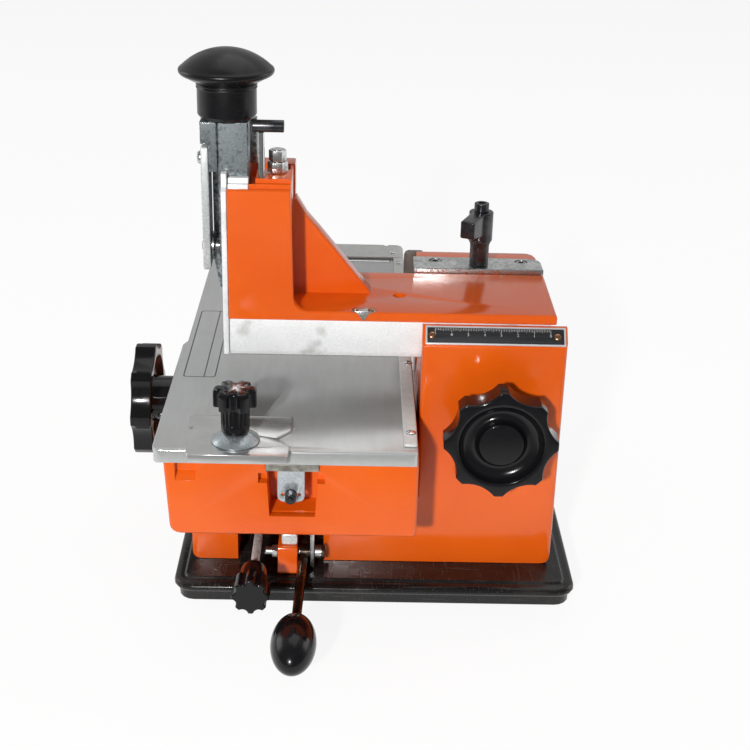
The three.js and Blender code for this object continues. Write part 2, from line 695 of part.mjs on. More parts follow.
// Scalloped handwheel, facing -Z with its face at z = 0, before it is turned into place
function handwheel(radius, depth, hubRadius, hubEnd, bore) {
  const rim = alongZ(scalloped(radius, radius * 0.13, 8), 0, depth, 1.5);
  const edge = radius * 0.74;
  const boss = radius * 0.4;
  const dish = [
    [0, -1], [edge + 0.5, -1], [edge - 0.4, 1], [edge * 0.93, 4.6], [edge * 0.8, 6.6], [boss * 1.3, 5.8],
  ];
  dish.push([boss * 1.08, 3.4], [boss, 1.4], [boss * 0.9, 2], [0, 2]);
  const hollow = [[hubRadius + 1, depth - 3.4], [radius * 0.7, depth - 3.4], [radius * 0.78, depth + 1]];
  hollow.push([hubRadius + 2, depth + 1], hollow[0]);
  const hub = [
    [0, depth - 5], [hubRadius + 1.5, depth - 5], [hubRadius, depth], [hubRadius, hubEnd], [0, hubEnd],
  ];
  const upright = (profile, steps) => turned(profile, steps).rotateX(Math.PI / 2);
  const wheel = join(cut(rim, upright(hollow, 16)), upright(hub, 16));
  return cut(wheel, upright(dish, 20), upright(rod(bore, 8.5, hubEnd + 5), 14));
}

function beamWheelPieces() {
  const { x, z, radius, front, depth } = beamWheel;
  const wheel = handwheel(radius, depth, 13, -front - 4.2, 6.3);
  piece("beam_handwheel", wheel.rotateX(-Math.PI / 2).translate(x, front, z), "black");
  const shaft = turnedY(rod(6, front + 8.9, 68, 0.6), x, z, 16);
  const bushProfile = [
    [0, -3.4], [12, -3.4], [12.6, -2.8], [12.6, -gap], [8.7, -gap], [8.7, 13.5], [0, 13.5],
  ];
  const bush = cut(turnedY(bushProfile, x, z, 16), turnedY(rod(6.4, -10, 20), x, z, 16));
  piece("beam_shaft_bush", bush, "steel");
  const outline = gearOutline(beamGear.teeth, beamGear.module, Math.PI / 2 + Math.PI / beamGear.teeth);
  const gear = alongY(polygon(outline), beamGear.front, beamGear.back).translate(x, 0, z);
  piece("beam_wheel_shaft", join(shaft, gear), "steel");
}

function tableWheelPieces() {
  const { y, z, radius, outer, depth } = tableWheel;
  const wheel = handwheel(radius, depth, 15, carriage.left - outer - 1.5, 6.3);
  piece("table_handwheel", wheel.rotateY(Math.PI / 2).translate(outer, y, z), "black");
  const shaft = turnedX(rod(6, outer + 8.9, -70, 0.6), y, z, 16);
  const outline = gearOutline(tableGear.teeth, tableGear.module, -Math.PI / 2 + Math.PI / tableGear.teeth);
  const gear = alongX(polygon(outline), tableGear.left, tableGear.right).translate(0, y, z);
  piece("table_wheel_shaft", join(shaft, gear), "steel");
}

// Carriage and table

function carriageCasting() {
  const outline = rounded([
    [carriage.left + 3, carriage.bottom, 6], [carriage.right, carriage.bottom, 3],
    [carriage.right, carriage.top, 1.5],
    [carriage.left, carriage.top, 1.5],
  ]);
  let solid = solidOf(alongY(outline, carriage.front, carriage.back, 1.2));
  const inner0 = carriage.front + 8;
  const inner1 = carriage.back - 8;
  const cavities = [[-118, -104], [-86, -14], [4, 16]];
  for (const [x0, x1] of cavities) {
    solid = solid.subtract(solidOf(block(x0, x1, inner0, inner1, carriage.bottom - 5, 126.6)));
  }
  for (const x of rail.x) {
    const half = rail.width / 2 + 0.4;
    solid = solid.subtract(
      solidOf(block(x - half, x + half, inner0, carriage.back + 5, carriage.bottom - 5, rail.top + 0.4)),
    );
  }
  const box = block(
    pocket.left - 4, pocket.right + 4, carriage.front + 4, carriage.front + 25, pocket.bottom - 5, 128,
  );
  solid = solid.add(solidOf(box));
  const well = polygon([
    [carriage.front - 5, pocket.bottom], [carriage.front + 5.4, pocket.bottom],
    [carriage.front + 5.4, pocket.bottom - 0.8],
    [carriage.front + 6.2, pocket.bottom - 0.8], [carriage.front + 6.2, pocket.bottom + 0.4],
    [carriage.front + 21, pocket.bottom + 1.5], [carriage.front + 21, pocket.roof],
    [carriage.front - 5, pocket.roof],
  ]);
  const mouth = polygon([
    [pocket.left, pocket.bottom - 1], [pocket.right, pocket.bottom - 1],
    [pocket.right + pocket.flare, pocket.roof],
    [pocket.left - pocket.flare, pocket.roof],
  ]);
  const cuts = [
    alongX(well, pocket.left - 3, pocket.right + 3),
    block(-70.5, -31.4, carriage.front - 5, carriage.front + 6, 118, 124.5),
    block(-66.3, -34.7, carriage.front - 5, 62, 127.1, 150),
    alongX(polygon([[-60, 118.6], [-55, 118.6], [-49.6, 123], [-49.6, 150], [-60, 150]]), -119, -106.7),
    turnedX(rod(6.4, carriage.left - 5, -85), tableWheel.y, tableWheel.z, 16),
    turnedZ(rod(3.3, 120, 150), clamp.x, clamp.y, 14),
  ];
  cuts[0] = geometryOf(
    solidOf(cuts[0]).intersect(solidOf(alongY(mouth, carriage.front - 5, carriage.front + 22))),
  );
  for (const part of cuts) solid = solid.subtract(solidOf(part));
  piece("carriage", geometryOf(solid), "orange");
}

function tablePlate() {
  const plan = rounded([
    [table.left, table.front, 5], [table.right, table.front, 2.5], [table.right, table.back, 4],
    [-128.6, table.back, 4],
    [-128.6, 102, 3], [table.left, 95, 3],
  ], 3);
  const section = rounded([
    [table.front, table.top - table.lip, 0.8], [table.front + 2.4, table.top - table.lip, 0.8],
    [table.front + 2.4, table.top - table.sheet], [table.back, table.top - table.sheet],
    [table.back, table.top],
    [table.front, table.top, 1.6],
  ]);
  let solid = solidOf(alongX(section, table.left, table.right, 0.4));
  solid = solid.intersect(solidOf(alongZ(plan, 100, 150)));
  solid = solid.subtract(solidOf(alongZ(rectangle(-60, 12, 270.6, 273.8), 130, 150)));
  solid = solid.subtract(solidOf(turnedZ(rod(3.3, 130, 150), clamp.x, clamp.y, 16)));
  piece("table_plate", geometryOf(solid), "sheet");
}

function tableStrips() {
  const z0 = table.top + gap;
  const side = rounded([[14.2, -51.5, 1.5], [22.2, -51.5, 1.5], [22.2, 274.8, 1], [14.2, 274.8, 1]]);
  piece("gauge_strip", alongZ(side, z0, z0 + 1.7, 0.3), "sheet");
  const rear = rounded([
    [-126, 276], [21.8, 276, 1], [21.8, 306, 6], [11.5, 306, 1], [9, 303], [6.5, 306, 1], [-126, 306, 3],
  ]);
  piece("rear_strip", alongZ(rear, z0, z0 + 1.7, 0.3), "sheet");
}

function pocketPieces() {
  const bar = polygon([
    [-57.8, 127.4], [60, 127.4], [60, 137.4], [-55.2, 137.4], [-55.2, 131.6], [-57.8, 131.6],
  ]);
  piece("slide_bar", alongX(bar, -66, -35, 0.3), "zinc");
  const centre = -51.5;
  const tab = rounded([
    [centre - 8.2, 102.9, 4], [centre + 8.2, 102.9, 4], [centre + 8.2, 126.8, 0.5],
    [centre - 8.2, 126.8, 0.5],
  ], 3);
  const shelf = block(centre - 8.2, centre + 8.2, -50.4, -40, 125, 127.1);
  const hole = turnedY(rod(3.7, -60, -40), centre, 108, 14);
  piece("tab_bracket", cut(join(alongY(tab, -50.4, -48.4, 0.3), shelf), hole), "zinc");
  const screw = turnedY([[0, -58], [2.8, -58], [3.3, -57.4], [3.3, -44], [0, -44]], centre, 108, 14);
  const socket = alongY(hexagon(centre, 108, 3.2), -60, -54.5);
  piece("bracket_screw", cut(screw, socket), "black");
}

function clampPieces() {
  const z0 = table.top + gap;
  const z1 = z0 + clamp.sheet;
  const plan = rounded([
    [-113.8, -17, 2], [-52.4, -17, 2], [-52.2, -34.5, 2], [-60.8, -45.6, 1], [-52, -55.5, 2],
    [-52.4, -68.6, 3], [-110.8, -68.6, 3], [-112.4, -36], [-110.2, -35], [-110.4, -31.6], [-112.7, -31.4],
  ], 3);
  let solid = solidOf(alongZ(plan, z0, z1));
  const lip = rounded([[-109.6, 137.4, 1.5], [-53.6, 137.4, 1.5], [-53.6, z1], [-109.6, z1]], 2);
  solid = solid.add(solidOf(alongY(lip, -68.6, -66.8)));
  solid = solid.subtract(solidOf(alongZ(rectangle(clamp.x - 3.4, clamp.x + 3.4, -60.6, -43, 3.3), 130, 160)));
  piece("clamp_plate", geometryOf(solid), "zinc");
  const washer = [
    [3.5, 145.4], [13.9, 143.2], [14.1, 143.9], [11.6, 145.9], [6.6, 148.4], [3.5, 148.4], [3.5, 145.4],
  ];
  piece("dished_washer", turnedZ(washer, clamp.x, clamp.y, 18), "zinc");
  piece("clamp_screw_stud", turnedZ(rod(3, 128, 163, 0.5), clamp.x, clamp.y, 14), "steel");
  const skirt = alongZ(scalloped(8.4, 1.1, 10, 3), 148.8, 168);
  const top = alongZ(scalloped(12.6, 2.8, 8, 4), 165, 177, 1.4);
  const bore = turnedZ(rod(3.3, 140, 164), 0, 0, 14);
  piece("clamp_star_knob", cut(join(skirt, top), bore).translate(clamp.x, clamp.y, 0), "black");
}

// Spacing screw and feed lever

function spacingPieces() {
  const { x, z, knobFront, knobBack, knobRadius } = spacing;
  piece("spacing_screw", turnedY(rod(2.7, knobBack - 10, slot.back + 24, 0.6), x, z, 14), "zinc");
  const star = scalloped(knobRadius, 2.2, 8, 4);
  const front = alongZ(star, 0, 15).rotateX(-Math.PI / 2).translate(0, knobFront, 0);
  const neck = turnedY(
    [[0, knobFront + 12], [9.2, knobFront + 12], [8.4, knobBack - 5], [6.6, knobBack], [0, knobBack]], 0, 0,
    14,
  );
  const bore = turnedY(rod(3, knobBack - 10.5, knobBack + 5), 0, 0, 14);
  piece("spacing_star_knob", cut(join(front, neck), bore).translate(x, 0, z), "black");
}

function feedPieces() {
  const { x, pivotY: y, pivotZ: z } = feed;
  const hole = turnedX(rod(2.9, -70, -30), y, z, 14);
  const bracket = rounded(
    [[-18.4, base.top + gap, 1.5], [6, base.top + gap], [6, 49.8, 3], [-14.4, 49.8, 1.5]], 3,
  );
  piece("feed_bracket", cut(alongX(bracket, -61.7, x - 4.4, 0.5), hole), "orange");
  const pad = rounded(
    [[-59.4, 49.8 + gap, 1.5], [-49.4, 49.8 + gap, 1.5], [-49.4, 57.6, 1], [-59.4, 57.6, 1]], 2,
  );
  piece("feed_pad", alongY(pad, -11.6, 1.5, 0.4), "zinc");
  const boltProfile = [
    [0, -68.4], [2.1, -68.4], [2.6, -67.9], [2.6, -38.4], [4.3, -38.4], [4.3, -33.3], [4.9, -33.3],
    [4.9, -31.4], [4.3, -31], [0, -31],
  ];
  piece("feed_pivot_bolt", turnedX(boltProfile, y, z, 12), "zinc");
  piece("feed_pivot_nut", cut(alongX(hexagon(0, 0, 7.6), -66.6, -62, 0.4).translate(0, y, z), hole), "zinc");
  const from = new THREE.Vector3(x, 18, 43.6);
  const to = new THREE.Vector3(feed.ballX, feed.ballY, feed.ballZ);
  const reach = from.distanceTo(to);
  const aim = new THREE.Quaternion().setFromUnitVectors(
    new THREE.Vector3(0, 1, 0), to.clone().sub(from).normalize(),
  );
  const lay = (g) => g.applyQuaternion(aim).translate(from.x, from.y, from.z);
  const eye = turnedX(rod(4.9, x - 3.2, x + 3.2, 0.4), y, z, 18);
  piece("feed_lever_rod", cut(join(lay(turned(rod(3, 0, reach - 6), 14)), eye), hole), "bronze");
  const half = 27.3;
  const oval = [[0, reach - half * 0.95]];
  for (let i = 0; i < 9; i += 1) {
    const t = 0.32 + ((Math.PI - 0.32) * i) / 9;
    oval.push([13.5 * Math.sin(t), reach - half * Math.cos(t)]);
  }
  oval.push([0, reach + half]);
  const ballBore = turned(rod(3.3, reach - 34, reach - 5.5), 14);
  piece("feed_lever_ball", lay(cut(turned(oval, 18), ballBore)), "black");
  const pawl = rounded([[y - 4.4, 33.2, 2], [y + 4.4, 33.2, 3], [y + 3.4, 71, 2.5], [y - 3.4, 69, 1.5]], 2);
  piece("feed_pawl", cut(alongX(pawl, x + 3.5, -38.7, 0.3), hole), "zinc");
}

basePlate();
rubberFeet();
mainHousing();
bedRails();
bedRack();
scale();
rearGuard();
clampBarPieces();
clampLever();
beamCasting();
dovetailSlide();
endPlate();
frontGib();
beamRack();
pointer();
headBolt();
lockPin();
ramPieces();
palmKnob();
piece("ram_return_spring", coil(-86, 52, 4.4, 0.7, 205.3, 261.6, 6, 7, 4), "steel");
beamWheelPieces();
tableWheelPieces();
carriageCasting();
tablePlate();
tableStrips();
pocketPieces();
clampPieces();
spacingPieces();
feedPieces();

for (const mesh of machine.children) mesh.geometry.translate(-middle.x, -middle.y, -foot.floor);

export default machine;
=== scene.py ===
import math

import bmesh
import bpy
from mathutils import Matrix, Vector


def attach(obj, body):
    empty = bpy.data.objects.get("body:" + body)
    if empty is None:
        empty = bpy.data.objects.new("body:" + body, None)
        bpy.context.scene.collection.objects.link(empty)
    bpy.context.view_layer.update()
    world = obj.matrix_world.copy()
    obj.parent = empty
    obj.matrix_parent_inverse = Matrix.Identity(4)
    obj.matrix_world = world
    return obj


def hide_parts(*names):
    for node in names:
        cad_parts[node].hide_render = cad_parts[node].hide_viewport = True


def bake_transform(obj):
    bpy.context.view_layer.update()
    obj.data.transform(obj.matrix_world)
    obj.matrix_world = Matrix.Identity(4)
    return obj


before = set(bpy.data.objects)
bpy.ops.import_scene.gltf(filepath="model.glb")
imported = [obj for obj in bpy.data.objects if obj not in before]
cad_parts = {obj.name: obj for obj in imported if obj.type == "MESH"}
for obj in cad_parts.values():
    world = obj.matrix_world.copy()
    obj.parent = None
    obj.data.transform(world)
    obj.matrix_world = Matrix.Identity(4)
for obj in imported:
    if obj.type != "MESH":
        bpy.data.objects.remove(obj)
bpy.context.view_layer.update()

# Base plate: a black plastic tray with a plain band, a groove and a rounded bead round its flat
# top. It is moulded in one piece, so every edge is a little round, and the top has fine scratches
# and dust.

MM = 0.001
middle_x, middle_y, floor_z = -17.25, 92, 7


def at(x, y, z):
    """A place in the machine's own sizes, in millimetres: x to the right, y back from the
    housing's front, z up. The world's origin is on the floor under the machine's middle."""
    return Vector(((x - middle_x) * MM, (y - middle_y) * MM, (z - floor_z) * MM))


def deselect():
    """Back to object mode with nothing selected."""
    if bpy.context.object and bpy.context.object.mode == "EDIT":
        bpy.ops.object.mode_set(mode="OBJECT")
    bpy.ops.object.select_all(action="DESELECT")


def take(piece):
    """Makes a piece the only one that the next operators act on."""
    deselect()
    piece.select_set(True)
    bpy.context.view_layer.objects.active = piece


def modify(piece, kind, **settings):
    """Adds a modifier with its settings and applies it at once."""
    take(piece)
    modifier = piece.modifiers.new(kind, kind)
    for name, value in settings.items():
        setattr(modifier, name, value)
    bpy.ops.object.modifier_apply(modifier=modifier.name)


def round_edges(piece, edge, segments=2, sharper_than=33):
    """Rounds each edge whose faces meet at more than an angle in degrees."""
    modify(piece, "BEVEL", width=edge * MM, segments=segments, limit_method="ANGLE",
           angle_limit=math.radians(sharper_than), use_clamp_overlap=True)


def dress(piece, body, finish, slot, *stands_for, smooth=32):
    """The last steps of a piece: smoothed, its finish on, its body named, and what it replaces."""
    take(piece)
    bpy.ops.object.transform_apply(location=True, rotation=True, scale=True)
    bpy.ops.object.shade_smooth_by_angle(angle=math.radians(smooth))
    piece.data.materials.clear()
    piece.data.materials.append(finish)
    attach(piece, body)
    if stands_for:
        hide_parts(*stands_for)
    return piece


def solid_copy(node):
    """A new piece with a node's own solid, its loose triangles merged into whole faces."""
    piece = bpy.data.objects.new(node + "_finished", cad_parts[node].data.copy())
    bpy.context.scene.collection.objects.link(piece)
    take(piece)
    bpy.ops.object.mode_set(mode="EDIT")
    bpy.ops.mesh.select_all(action="SELECT")
    bpy.ops.mesh.remove_doubles(threshold=0.02 * MM)
    bpy.ops.mesh.dissolve_limited(angle_limit=math.radians(1.5))
    bpy.ops.object.mode_set(mode="OBJECT")
    return piece


def broken_edges(node, body, finish, slot, edge=0.4, segments=2, smooth=32):
    """A copy of a solid with its sharp edges rounded, which stands for that solid."""
    piece = solid_copy(node)
    round_edges(piece, edge, segments)
    return dress(piece, body, finish, slot, node, smooth=smooth)


class Shade:
    """A socket in a finish's node tree: sums on it add Math nodes."""

    def __init__(self, tree, socket):
        self.tree = tree
        self.socket = socket

    def node(self, kind, settings=None, inputs=None, output=0):
        """A new node of a type, with its settings first and then its sockets' values or links."""
        made = self.tree.nodes.new("ShaderNode" + kind)
        for name, value in (settings or {}).items():
            setattr(made, name, value)
        for name, value in (inputs or {}).items():
            if isinstance(value, Shade):
                self.tree.links.new(value.socket, made.inputs[name])
            else:
                made.inputs[name].default_value = value
        return Shade(self.tree, made.outputs[output])

    def sum_with(self, operation, first, second):
        return self.node("Math", {"operation": operation}, {0: first, 1: second})

    def __add__(self, other):
        return self.sum_with("ADD", self, other)

    __radd__ = __add__

    def __mul__(self, other):
        return self.sum_with("MULTIPLY", self, other)

    __rmul__ = __mul__

    def __sub__(self, other):
        return self.sum_with("SUBTRACT", self, other)

    def __rsub__(self, other):
        return self.sum_with("SUBTRACT", other, self)

    def ranged(self, low, high, to_low=0.0, to_high=1.0):
        """This value's range from low to high, spread smoothly from to_low to to_high."""
        limits = {1: low, 2: high, 3: to_low, 4: to_high}
        return self.node("MapRange", {"interpolation_type": "SMOOTHSTEP"}, {0: self, **limits})

    def tint(self, first, second):
        """The first colour where this value is 0, the second where it is 1."""
        first, second = (
            colour if isinstance(colour, Shade) else (*colour, 1) for colour in (first, second)
        )
        return self.node("Mix", {"data_type": "RGBA"}, {0: self, 6: first, 7: second}, output=2)

    def noise(self, scale, detail=3.0, stretch=(1, 1, 1)):
        """Clouds at this place, scale of them to a metre, drawn out where stretch is small."""
        place = self.node("Mapping", None, {"Vector": self, "Scale": stretch})
        return self.node("TexNoise", None, {"Vector": place, "Scale": scale, "Detail": detail})

    def bump(self, height, strength=1.0, normal=None):
        """A normal that this value raises by a height in millimetres, over another one."""
        values = {"Height": self, "Distance": height * MM, "Strength": strength}
        if normal:
            values["Normal"] = normal
        return self.node("Bump", None, values)


class Finish:
    """A new finish: its material, its surface shader, and the place on the piece that it reads."""

    def __init__(self, name):
        self.material = bpy.data.materials.new(name)
        self.material.use_nodes = True
        self.tree = self.material.node_tree
        self.surface = self.tree.nodes["Principled BSDF"]
        coordinates = self.tree.nodes.new("ShaderNodeTexCoord")
        self.place = Shade(self.tree, coordinates.outputs["Object"])

    def set(self, **sockets):
        """Sets or links the surface's sockets by name, and gives the material back."""
        for name, value in sockets.items():
            socket = self.surface.inputs[name.replace("_", " ")]
            if isinstance(value, Shade):
                self.tree.links.new(value.socket, socket)
            else:
                socket.default_value = value
        return self.material


def moulded_black():
    finish = Finish("moulded_black")
    dust = finish.place.noise(38, 4).ranged(0.42, 0.75)
    scratches = finish.place.noise(900, 1, stretch=(1, 0.05, 1)).ranged(0.62, 0.72)
    nicks = finish.place.noise(700, 1, stretch=(0.05, 1, 1)).ranged(0.64, 0.74)
    marks = scratches * 0.5 + nicks * 0.5
    dusty = dust.tint((0.01, 0.0095, 0.0095), (0.024, 0.021, 0.019))
    return finish.set(
        Base_Color=marks.tint(dusty, (0.06, 0.055, 0.05)),
        Roughness=dust.ranged(0, 1, 0.2, 0.32) + marks * 0.15,
        Specular_IOR_Level=0.36,
        Normal=finish.place.noise(22, 1).bump(0.4, 0.35, marks.bump(0.02, 0.4)),
    )


broken_edges("base_plate", "machine_frame", moulded_black(), "gloss_black_moulding",
             edge=0.5, segments=3)


# Feet: four black rubber buttons, each with a hollow in its sole for the screw that holds it. The
# rubber is matt, with pale scuffs where it meets the bench.

UP = (0, 0, 1)


def spun(name, profile, middle, along=UP, out=None, steps=96):
    """A turned piece: a line of (radius, height) points in millimetres, spun round its axis."""
    along = Vector(along).normalized()
    out = Vector(out).normalized() if out else along.orthogonal().normalized()
    deselect()
    bpy.ops.mesh.primitive_plane_add(size=MM)
    piece = bpy.context.object
    piece.name = name
    bpy.ops.object.mode_set(mode="EDIT")
    bpy.ops.mesh.select_all(action="SELECT")
    bpy.ops.mesh.merge(type="CENTER")
    here = Vector((0, 0, 0))
    for number, (radius, height) in enumerate(profile):
        there = middle + (out * radius + along * height) * MM
        if number:
            bpy.ops.mesh.extrude_vertices_move(TRANSFORM_OT_translate={"value": there - here})
        else:
            bpy.ops.transform.translate(value=there)
        here = there
    bpy.ops.mesh.select_all(action="SELECT")
    bpy.ops.mesh.spin(steps=steps, angle=2 * math.pi, center=middle, axis=along)
    bpy.ops.mesh.select_all(action="SELECT")
    bpy.ops.mesh.remove_doubles(threshold=0.004 * MM)
    bpy.ops.mesh.normals_make_consistent(inside=False)
    bpy.ops.object.mode_set(mode="OBJECT")
    return piece


def bent(start, knee, end, count=8):
    """Points on the curve that leaves start towards knee and reaches end from it, end left out."""
    points = []
    for number in range(count):
        t = number / count
        points.append(tuple(
            (1 - t) ** 2 * a + 2 * t * (1 - t) * b + t**2 * c for a, b, c in zip(start, knee, end)
        ))
    return points


def foot_rubber():
    finish = Finish("foot_rubber")
    scuffs = finish.place.noise(260, 4).ranged(0.45, 0.8)
    return finish.set(
        Base_Color=scuffs.tint((0.014, 0.014, 0.014), (0.05, 0.048, 0.045)),
        Roughness=scuffs.ranged(0, 1, 0.62, 0.85),
        Normal=finish.place.noise(1800, 2).bump(0.04, 0.6),
    )


rubber = foot_rubber()
foot_profile = [
    (0, 9), (3, 9), (3.3, 7), *bent((7.4, 7), (9.5, 7), (9.5, 9)), (9.5, 9.4),
    *bent((8.9, 16), (8.8, 16.5), (8, 16.5), 4), (0, 16.5),
]
for end, y in (("front", 2), ("rear", 202)):
    for side, x in (("left", -110), ("right", 98)):
        name = f"rubber_foot_{end}_{side}"
        foot = spun(name + "_finished", foot_profile, at(x, y, 0), steps=48)
        dress(foot, "machine_frame", rubber, "rubber", name)


# Main housing: one iron casting in glossy orange enamel, with the low bed on the left and the
# tower on the right. The enamel follows the casting's slow waves and has a fine orange peel.


def orange_enamel():
    finish = Finish("orange_enamel")
    cloud = finish.place.noise(14, 3)
    specks = finish.place.noise(1100, 2).ranged(0.71, 0.78)
    colour = cloud.ranged(0.3, 0.7).tint((0.76, 0.102, 0.004), (0.83, 0.124, 0.006))
    return finish.set(
        Base_Color=specks.tint(colour, (0.4, 0.04, 0.003)),
        Roughness=finish.place.noise(45, 4).ranged(0.3, 0.75, 0.14, 0.24),
        Coat_Weight=0.14,
        Coat_Roughness=0.05,
        Normal=finish.place.noise(420, 2).bump(0.06, 0.22, cloud.bump(1.6, 0.2)),
    )


orange = orange_enamel()
broken_edges("main_housing", "machine_frame", orange, "orange_enamel",
             edge=0.9, segments=3, smooth=40)


# Shaft bush, bed rails and bed rack: turned, ground and cut steel, screwed to the housing from
# below. The steel is bright, with fine tool marks and a light stain of old oil.

BACK = (0, 1, 0)
beam_wheel_x, beam_wheel_z = 72.7, 136


def plated(name, dark, light, smoothest, roughest, grain=420, bump=0.03, metallic=1.0):
    """Bare or plated metal: two tones in clouds and fine grains, rougher where it is dark."""
    finish = Finish(name)
    spangle = finish.place.noise(grain, 3)
    bright = (spangle * 0.6 + finish.place.noise(grain / 6, 4) * 0.4).ranged(0.38, 0.62)
    return finish.set(
        Base_Color=bright.tint(dark, light),
        Metallic=metallic,
        Roughness=bright.ranged(0, 1, roughest, smoothest),
        Normal=spangle.bump(bump, 0.5),
    )


steel = plated("turned_steel", (0.42, 0.42, 0.41), (0.6, 0.6, 0.59), 0.2, 0.34)
for node in ("bed_rail_left", "bed_rail_right", "bed_rack"):
    broken_edges(node, "machine_frame", steel, "steel", edge=0.25)
bush_profile = [
    (6.4, -3.4), *bent((12, -3.4), (12.6, -3.4), (12.6, -2.8), 4), (12.6, -0.3), (8.7, -0.3),
    (8.7, 13.5), (6.4, 13.5), (6.4, -3.4),
]
bush_place = at(beam_wheel_x, 0, beam_wheel_z)
bush = spun("beam_shaft_bush_finished", bush_profile, bush_place, BACK)
dress(bush, "machine_frame", steel, "steel", "beam_shaft_bush")


# Scale: a folded aluminium holder on the tower's chamfer, with a black anodised strip let into
# it. The strip carries a centimetre scale in white, and a copper-coloured screw at each end
# holds it.

scale_x = 69.7
strip_face = 1.6
chamfer_depth, chamfer_foot, chamfer_top = 9.5, 183, 193.5
slope = math.atan2(chamfer_top - chamfer_foot, chamfer_depth)
chamfer = (
    Matrix.Translation(at(scale_x, chamfer_depth / 2, (chamfer_foot + chamfer_top) / 2))
    @ Matrix.Rotation(slope, 4, "X")
)


def block(name, low, high, edge=0.0):
    """A block between two corners in millimetres from the world's origin, its edges rounded."""
    deselect()
    low = Vector(low) * MM
    high = Vector(high) * MM
    bpy.ops.mesh.primitive_cube_add(size=1, location=(low + high) / 2)
    bpy.ops.transform.resize(value=high - low)
    bpy.ops.object.transform_apply(location=True, rotation=True, scale=True)
    piece = bpy.context.object
    piece.name = name
    if edge:
        modify(piece, "BEVEL", width=edge * MM, segments=3)
    return piece


def drum(name, middle, along, *, radius, depth, sides=64):
    """A round or many-sided bar, to be cut out of a piece or shaped further."""
    deselect()
    turn = Vector(along).to_track_quat("Z", "Y").to_euler()
    bpy.ops.mesh.primitive_cylinder_add(
        vertices=sides, radius=radius * MM, depth=depth * MM, location=middle, rotation=turn
    )
    piece = bpy.context.object
    piece.name = name
    return piece


def cut(piece, tool, operation="DIFFERENCE"):
    """Cuts one piece with another, or joins them into one skin, and removes the other."""
    modify(piece, "BOOLEAN", operation=operation, object=tool, solver="EXACT")
    bpy.data.objects.remove(tool)
    return piece


def joined(pieces, name):
    """Several pieces made one, under a new name."""
    take(pieces[0])
    for piece in pieces:
        piece.select_set(True)
    bpy.ops.object.join()
    pieces[0].name = name
    return pieces[0]


def slotted_screw(name, seat, along, body, finish, slot, *, radius, height, turn):
    """A low round screw head, slightly domed, with a driver slot turned by some degrees."""
    edge = 0.25 * radius
    low_edge = height - edge
    profile = [
        (0, -0.4), (radius, -0.4), (radius, low_edge),
        *bent((radius, low_edge), (radius, height), (radius - edge, height), 5),
        (radius / 2, height + edge / 3), (0, height + edge / 2),
    ]
    head = spun(name, profile, seat, along, steps=48)
    reach, half = 2 * radius, radius / 7
    groove = block("groove", (-reach, -half, height * 0.45), (reach, half, height * 3))
    upright = Vector(along).to_track_quat("Z", "Y").to_matrix().to_4x4()
    turned = Matrix.Rotation(math.radians(turn), 4, "Z")
    groove.matrix_world = Matrix.Translation(seat) @ upright @ turned
    return dress(cut(head, groove), body, finish, slot)


def scale_marks():
    """White lines for millimetres, longer ones for half and whole centimetres, and numerals."""
    top = 4.8
    first = 33.05 - scale_x
    paint = 0.03
    lines = (  # each kind's start, spacing, count, length and half width
        (0, 1, 71, 1.6, 0.1),
        (5, 10, 7, 2, 0.12),
        (0, 10, 8, 2.6, 0.13),
    )
    pieces = []
    for start, apart, count, length, half in lines:
        x = first + start
        low = (x - half, top - length, strip_face - paint)
        line = block("line", low, (x + half, top, strip_face + paint))
        modify(line, "ARRAY", count=count, use_relative_offset=False, use_constant_offset=True,
               constant_offset_displace=(apart * MM, 0, 0))
        pieces.append(line)
    for number in range(8):
        deselect()
        bpy.ops.object.text_add()
        numeral = bpy.context.object
        numeral.data.body = str(7 - number)
        numeral.data.size = 2.6 * MM
        numeral.data.align_x = "CENTER"
        numeral.data.extrude = paint * MM
        bpy.ops.object.convert(target="MESH")
        place = Vector((first + 10 * number, top - 4.9, strip_face)) * MM
        bpy.ops.transform.translate(value=place)
        bpy.ops.object.transform_apply(location=True)
        pieces.append(numeral)
    marks = joined(pieces, "scale_marks")
    marks.matrix_world = chamfer
    return marks


def white_paint():
    finish = Finish("white_paint")
    worn = finish.place.noise(900, 3).ranged(0.45, 0.7)
    return finish.set(
        Base_Color=worn.tint((0.62, 0.62, 0.6), (0.34, 0.34, 0.33)),
        Roughness=0.5,
    )


def black_anodised():
    finish = Finish("black_anodised")
    brush = finish.place.noise(500, 2, stretch=(0.05, 1, 1))
    return finish.set(
        Base_Color=brush.tint((0.02, 0.021, 0.024), (0.06, 0.062, 0.066)),
        Metallic=0.5,
        Roughness=brush.ranged(0.3, 0.7, 0.3, 0.42),
        Normal=brush.bump(0.01, 0.4),
    )


aluminium = plated("scale_aluminium", (0.66, 0.67, 0.68), (0.74, 0.75, 0.76), 0.34, 0.42,
                   grain=800, bump=0.002, metallic=0.4)
copper = plated("copper_coloured", (0.42, 0.2, 0.11), (0.62, 0.33, 0.2), 0.22, 0.36, grain=900)
holder = block("scale_holder_finished", (-42.5, -5.7, 0.3), (42.5, 6.2, 1.7), edge=0.25)
cut(holder, block("opening", (-41.5, -4.7, 0.8), (41.4, 5.2, 4)))
holder.matrix_world = chamfer
dress(holder, "machine_frame", aluminium, "scale_frame", "scale_holder")
strip = block("scale_strip_finished", (-41.3, -4.5, 1), (41.2, 5, strip_face), edge=0.06)
strip.matrix_world = chamfer
dress(strip, "machine_frame", black_anodised(), "scale_black", "scale_strip")
dress(scale_marks(), "machine_frame", white_paint(), "scale_frame")
chamfer_normal = chamfer.to_3x3() @ Vector(UP)
for side, x in (("left", 31.2), ("right", 107.2)):
    seat = chamfer @ (Vector((x - scale_x, 0, strip_face)) * MM)
    slotted_screw("scale_screw_" + side, seat, chamfer_normal, "machine_frame", copper,
                  "scale_frame", radius=2.1, height=0.9, turn=35)


